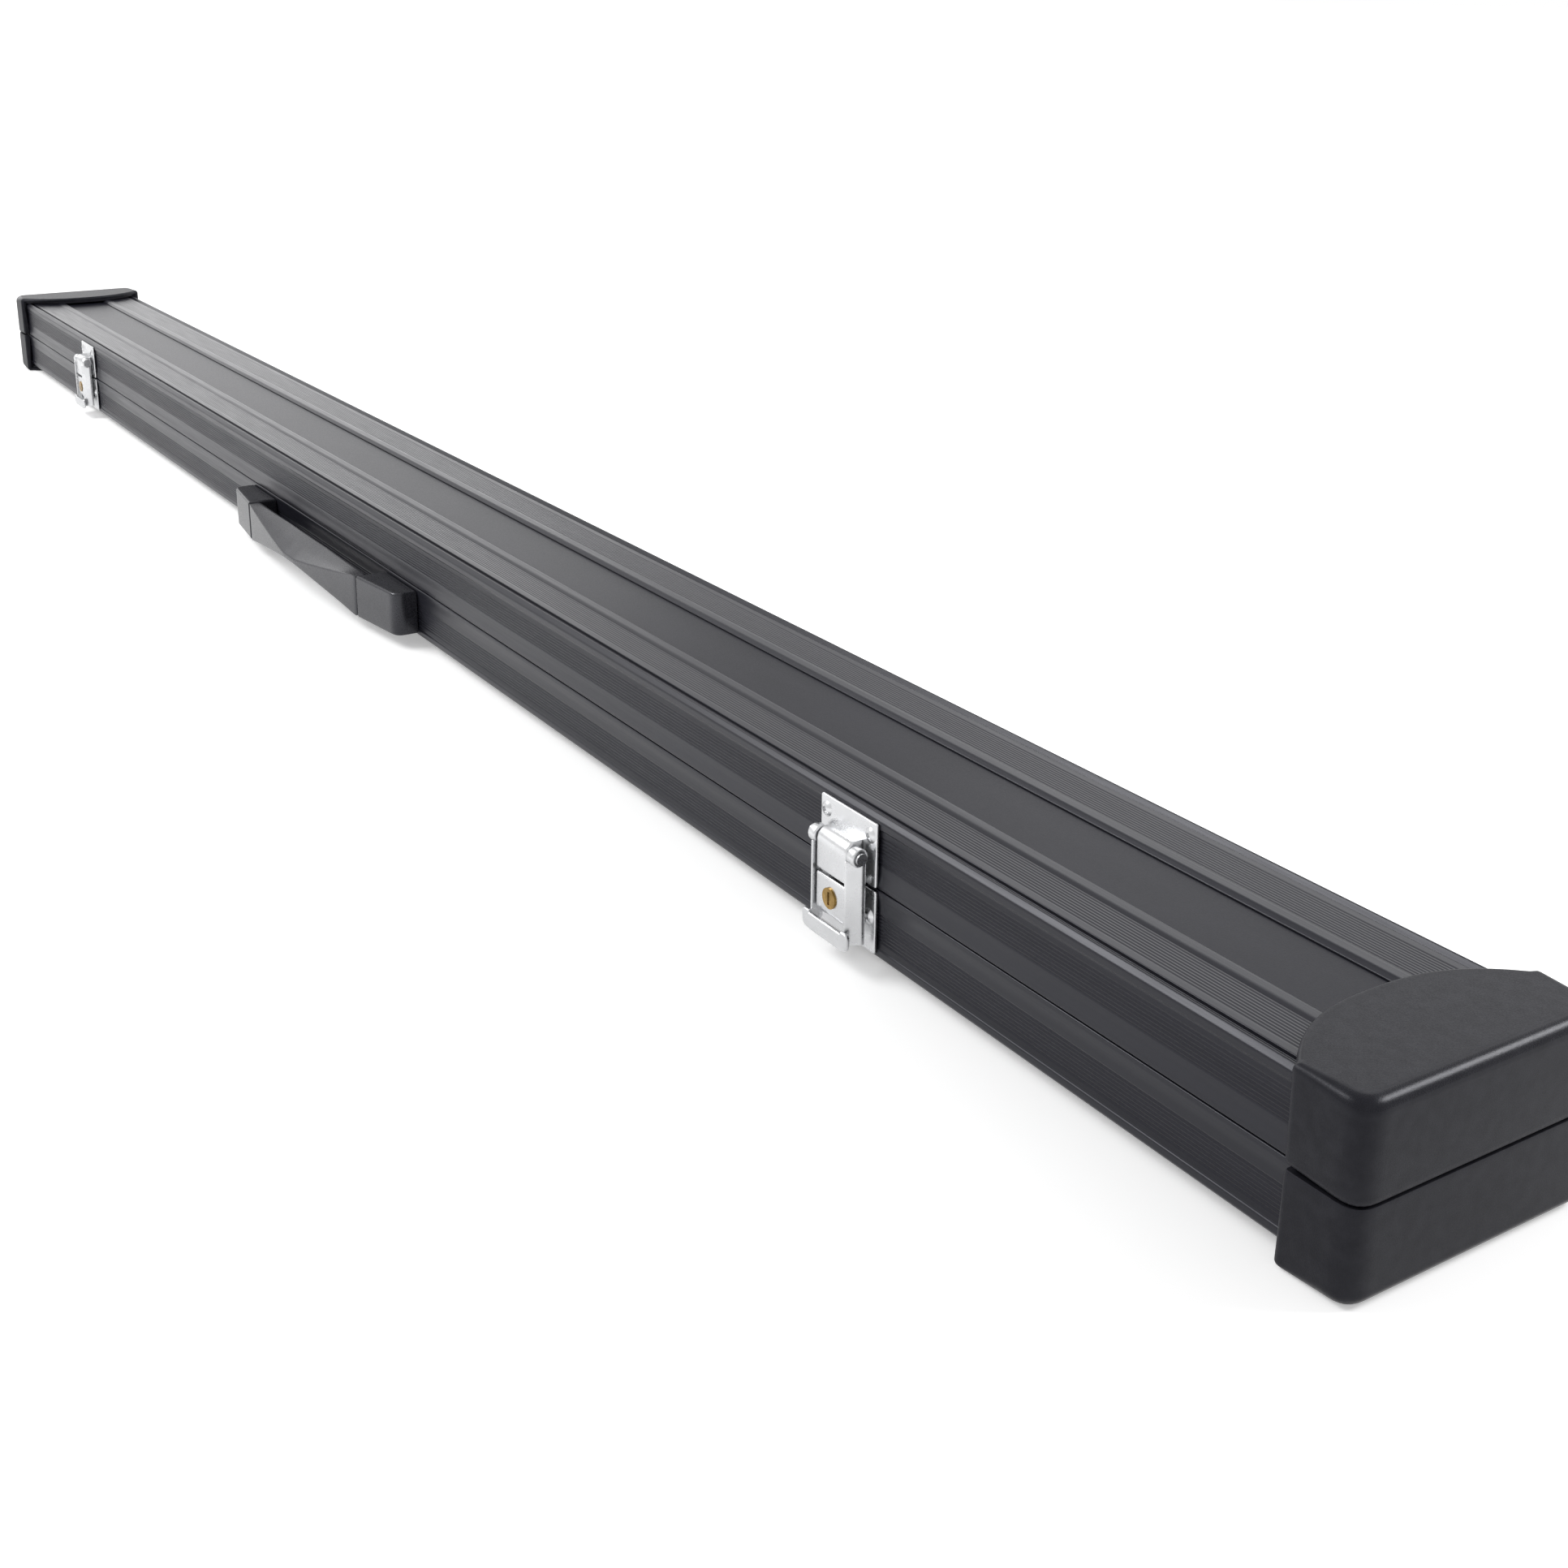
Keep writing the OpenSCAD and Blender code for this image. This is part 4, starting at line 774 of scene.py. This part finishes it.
def grip_rows():
    """Eight softened corners at each station along the grip, as rows for a loft.

    From the ends to the ridge the front face bows out and narrows, nearly in straight lines, and the top edge
    sinks towards the line from the back to the ridge, so that one long facet shows.
    """
    x = GRIP_HALF * np.sin(np.linspace(-np.pi / 2, np.pi / 2, GRIP_STATIONS))
    share = np.abs(x) / GRIP_HALF
    past_ridge = np.clip((np.abs(x) - RIDGE_HALF) / (GRIP_HALF - RIDGE_HALF), 0, 1)
    middle = 1 - past_ridge ** RIDGE_POWER
    end_outer = STAND_OFF + GRIP_THICK
    outer = end_outer + GRIP_BOW * middle
    inner = STAND_OFF + INNER_BOW * np.clip(1 - (share / INNER_SHARE) ** INNER_POWER, 0, 1)
    front = GRIP_TALL - (GRIP_TALL - RIDGE_TALL) * middle
    shoulder = np.maximum(inner + LEAST_CHAMFER, STAND_OFF + BACK_CHAMFER)
    back = GRIP_TALL - np.clip(shoulder - inner, 0, BACK_CHAMFER)
    crease = np.minimum(end_outer, outer - LEAST_FACET)
    tall = np.full_like(x, GRIP_TALL)
    facet = tall - (tall - front) * (crease - shoulder) / (outer - shoulder)
    upper = np.stack([[inner, back], [shoulder, tall], [crease, facet], [outer, front]])
    lower = upper[::-1] * np.array([1, -1])[None, :, None]
    section = softened(np.concatenate([upper, lower]).transpose(2, 0, 1), GRIP_TRIMS, GRIP_STEPS)
    centre = np.stack([(inner + outer) / 2, 0 * x], axis=1)[:, None]
    drawn = 1 - END_DRAW * np.exp(-(GRIP_HALF - np.abs(x)) / END_DRAW_LENGTH)
    section = centre + (section - centre) * drawn[:, None, None]
    stations = np.broadcast_to(x[:, None], section.shape[:2])
    return np.stack([stations, FRONT_Y - section[..., 0], GRIP_Z + section[..., 1]], axis=-1)


make_piece("handle_grip_moulded", [grip_rows()], "handle", grip_black, "handle_grip")
print("grip rows and points in a row:", grip_rows().shape[:2])

# %% Block out the two brackets
BRACKET_INNER, BRACKET_OUTER = 72.0, 106.0
BRACKET_REACH, BRACKET_END = 14.0, 10.0
BRACKET_TALL, BRACKET_RIM = 9.3, 1.0
BRACKET_TRIMS, BRACKET_STEPS = (0.3, 0.3, 5, 0.8), 9
bracket_outline = [(BRACKET_INNER, 0), (BRACKET_OUTER, 0), (BRACKET_OUTER, BRACKET_END),
                   (BRACKET_INNER, BRACKET_REACH)]
for end, place in ENDS:
    bracket = slab(bracket_outline, BRACKET_TRIMS, -BRACKET_TALL, BRACKET_TALL, BRACKET_RIM,
                   lambda a, b, h: np.stack([end * a, FRONT_Y - b, GRIP_Z + h], axis=-1), BRACKET_STEPS)
    make_piece(f"handle_bracket_{place}_moulded", [bracket], "base", grip_black, f"handle_bracket_{place}")
print("handle: one grip and", len(ENDS), "brackets")

# %% [markdown]
# ## Floor, world and lamps
# A pale floor carries the shadow. For the camera and for mirrors the world is plain white, and for
# everything else it is a soft fill, so that a white background doesn't wash out the black case. Two dim
# softboxes behind lift the upper faces, one in front lights the floor that the metal mirrors, and two
# smaller lamps draw the edges. The floor glows for the camera and for mirrors, more with distance, so
# that it stays white.

# %% Give the background two levels
FILL = 0.5
WHITE = (1, 1, 1, 1)


def background_level(tree, hidden, shown, socket):
    """Sets a strength to shown for camera, glossy and transmission rays, and to hidden for all other rays."""
    rays = tree.nodes.new("ShaderNodeLightPath")
    mirrored, seen = tree.nodes.new("ShaderNodeMath"), tree.nodes.new("ShaderNodeMath")
    mirrored.operation = seen.operation = "ADD"
    seen.use_clamp = True
    tree.links.new(rays.outputs["Is Glossy Ray"], mirrored.inputs[0])
    tree.links.new(rays.outputs["Is Transmission Ray"], mirrored.inputs[1])
    tree.links.new(rays.outputs["Is Camera Ray"], seen.inputs[0])
    tree.links.new(mirrored.outputs["Value"], seen.inputs[1])
    level = mapped(tree, seen.outputs["Value"], hidden, shown)
    tree.links.new(level.outputs["Result"], socket)
    return level


world = bpy.data.worlds.new("studio")
bpy.context.scene.world = world
world.use_nodes = True
sky = world.node_tree.nodes["Background"]
sky.inputs["Color"].default_value = WHITE
background_level(world.node_tree, FILL, 1.0, sky.inputs["Strength"])
bpy.context.scene.view_settings.view_transform = "Standard"
print("world: fill", FILL)

# %% Hang the lamps
LAMP_UP = (0.0, 0.02, 1.0)


def lamp(name, wide, tall, watts, place, target):
    """A rectangular area lamp at a place, facing a target, all in metres."""
    data = bpy.data.lights.new(name, "AREA")
    data.shape = "RECTANGLE"
    data.size = wide
    data.size_y = tall
    data.energy = watts
    holder = bpy.data.objects.new(name, data)
    bpy.context.scene.collection.objects.link(holder)
    back = np.array(place, float) - np.array(target, float)
    back /= np.linalg.norm(back)
    side = np.cross(LAMP_UP, back)
    side /= np.linalg.norm(side)
    pose = np.eye(4)
    pose[:3, :3] = np.stack([side, np.cross(back, side), back], axis=1)
    pose[:3, 3] = place
    holder.matrix_world = Matrix(pose.tolist())


lamp("far_softbox", 1.6, 0.6, 3.5, (-2.0, 0.35, 0.4), (-0.3, 0.0, 0.03))
lamp("end_strip", 0.75, 0.55, 25, (1.22, 1.42, 1.31), (0.6, 0.0, 0.03))
lamp("rear_softbox", 1.4, 0.9, 4.0, (-0.4, 1.42, 1.0), (0.6, 0.0, 0.05))
lamp("front_softbox", 1.6, 1.0, 1.5, (-0.9, -1.6, 1.2), (-0.1, 0.0, 0.03))
lamp("front_strip", 0.8, 0.5, 13, (-0.45, -0.78, 1.02), (0.5, 0.0, 0.04))
print("lamps:", len(bpy.data.lights))

# %% Lay the floor
FLOOR_REACH, FLOOR_DROP = 20.0, -0.0002
FLOOR_GLOW = (0.36, 0.62)
FLOOR_BAND = (1.0, 2.4)
floor_mesh = bpy.data.meshes.new("floor")
round_floor = ((-1, -1), (1, -1), (1, 1), (-1, 1))
floor_corners = [(x * FLOOR_REACH, y * FLOOR_REACH, FLOOR_DROP) for x, y in round_floor]
floor_mesh.from_pydata(floor_corners, [], [(0, 1, 2, 3)])
floor = bpy.data.objects.new("floor", floor_mesh)
bpy.context.scene.collection.objects.link(floor)
pale = finish("pale_floor", (0.87, 0.87, 0.87), (0.91, 0.91, 0.91), (0.85, 0.95),
              (40, EVEN), (2, EVEN), bump=0.01)
tree = pale.node_tree
shader = tree.nodes["Principled BSDF"]
shader.inputs["Emission Color"].default_value = WHITE
ground = tree.nodes.new("ShaderNodeTexCoord")
distance = tree.nodes.new("ShaderNodeVectorMath")
distance.operation = "LENGTH"
tree.links.new(ground.outputs["Object"], distance.inputs[0])
glow = mapped(tree, distance.outputs["Value"], *FLOOR_GLOW, FLOOR_BAND)
level = background_level(tree, 0.0, 1.0, shader.inputs["Emission Strength"])
tree.links.new(glow.outputs["Result"], level.inputs["To Max"])
floor_mesh.materials.append(pale)
print("floor: glow", *FLOOR_GLOW, "from near to far")
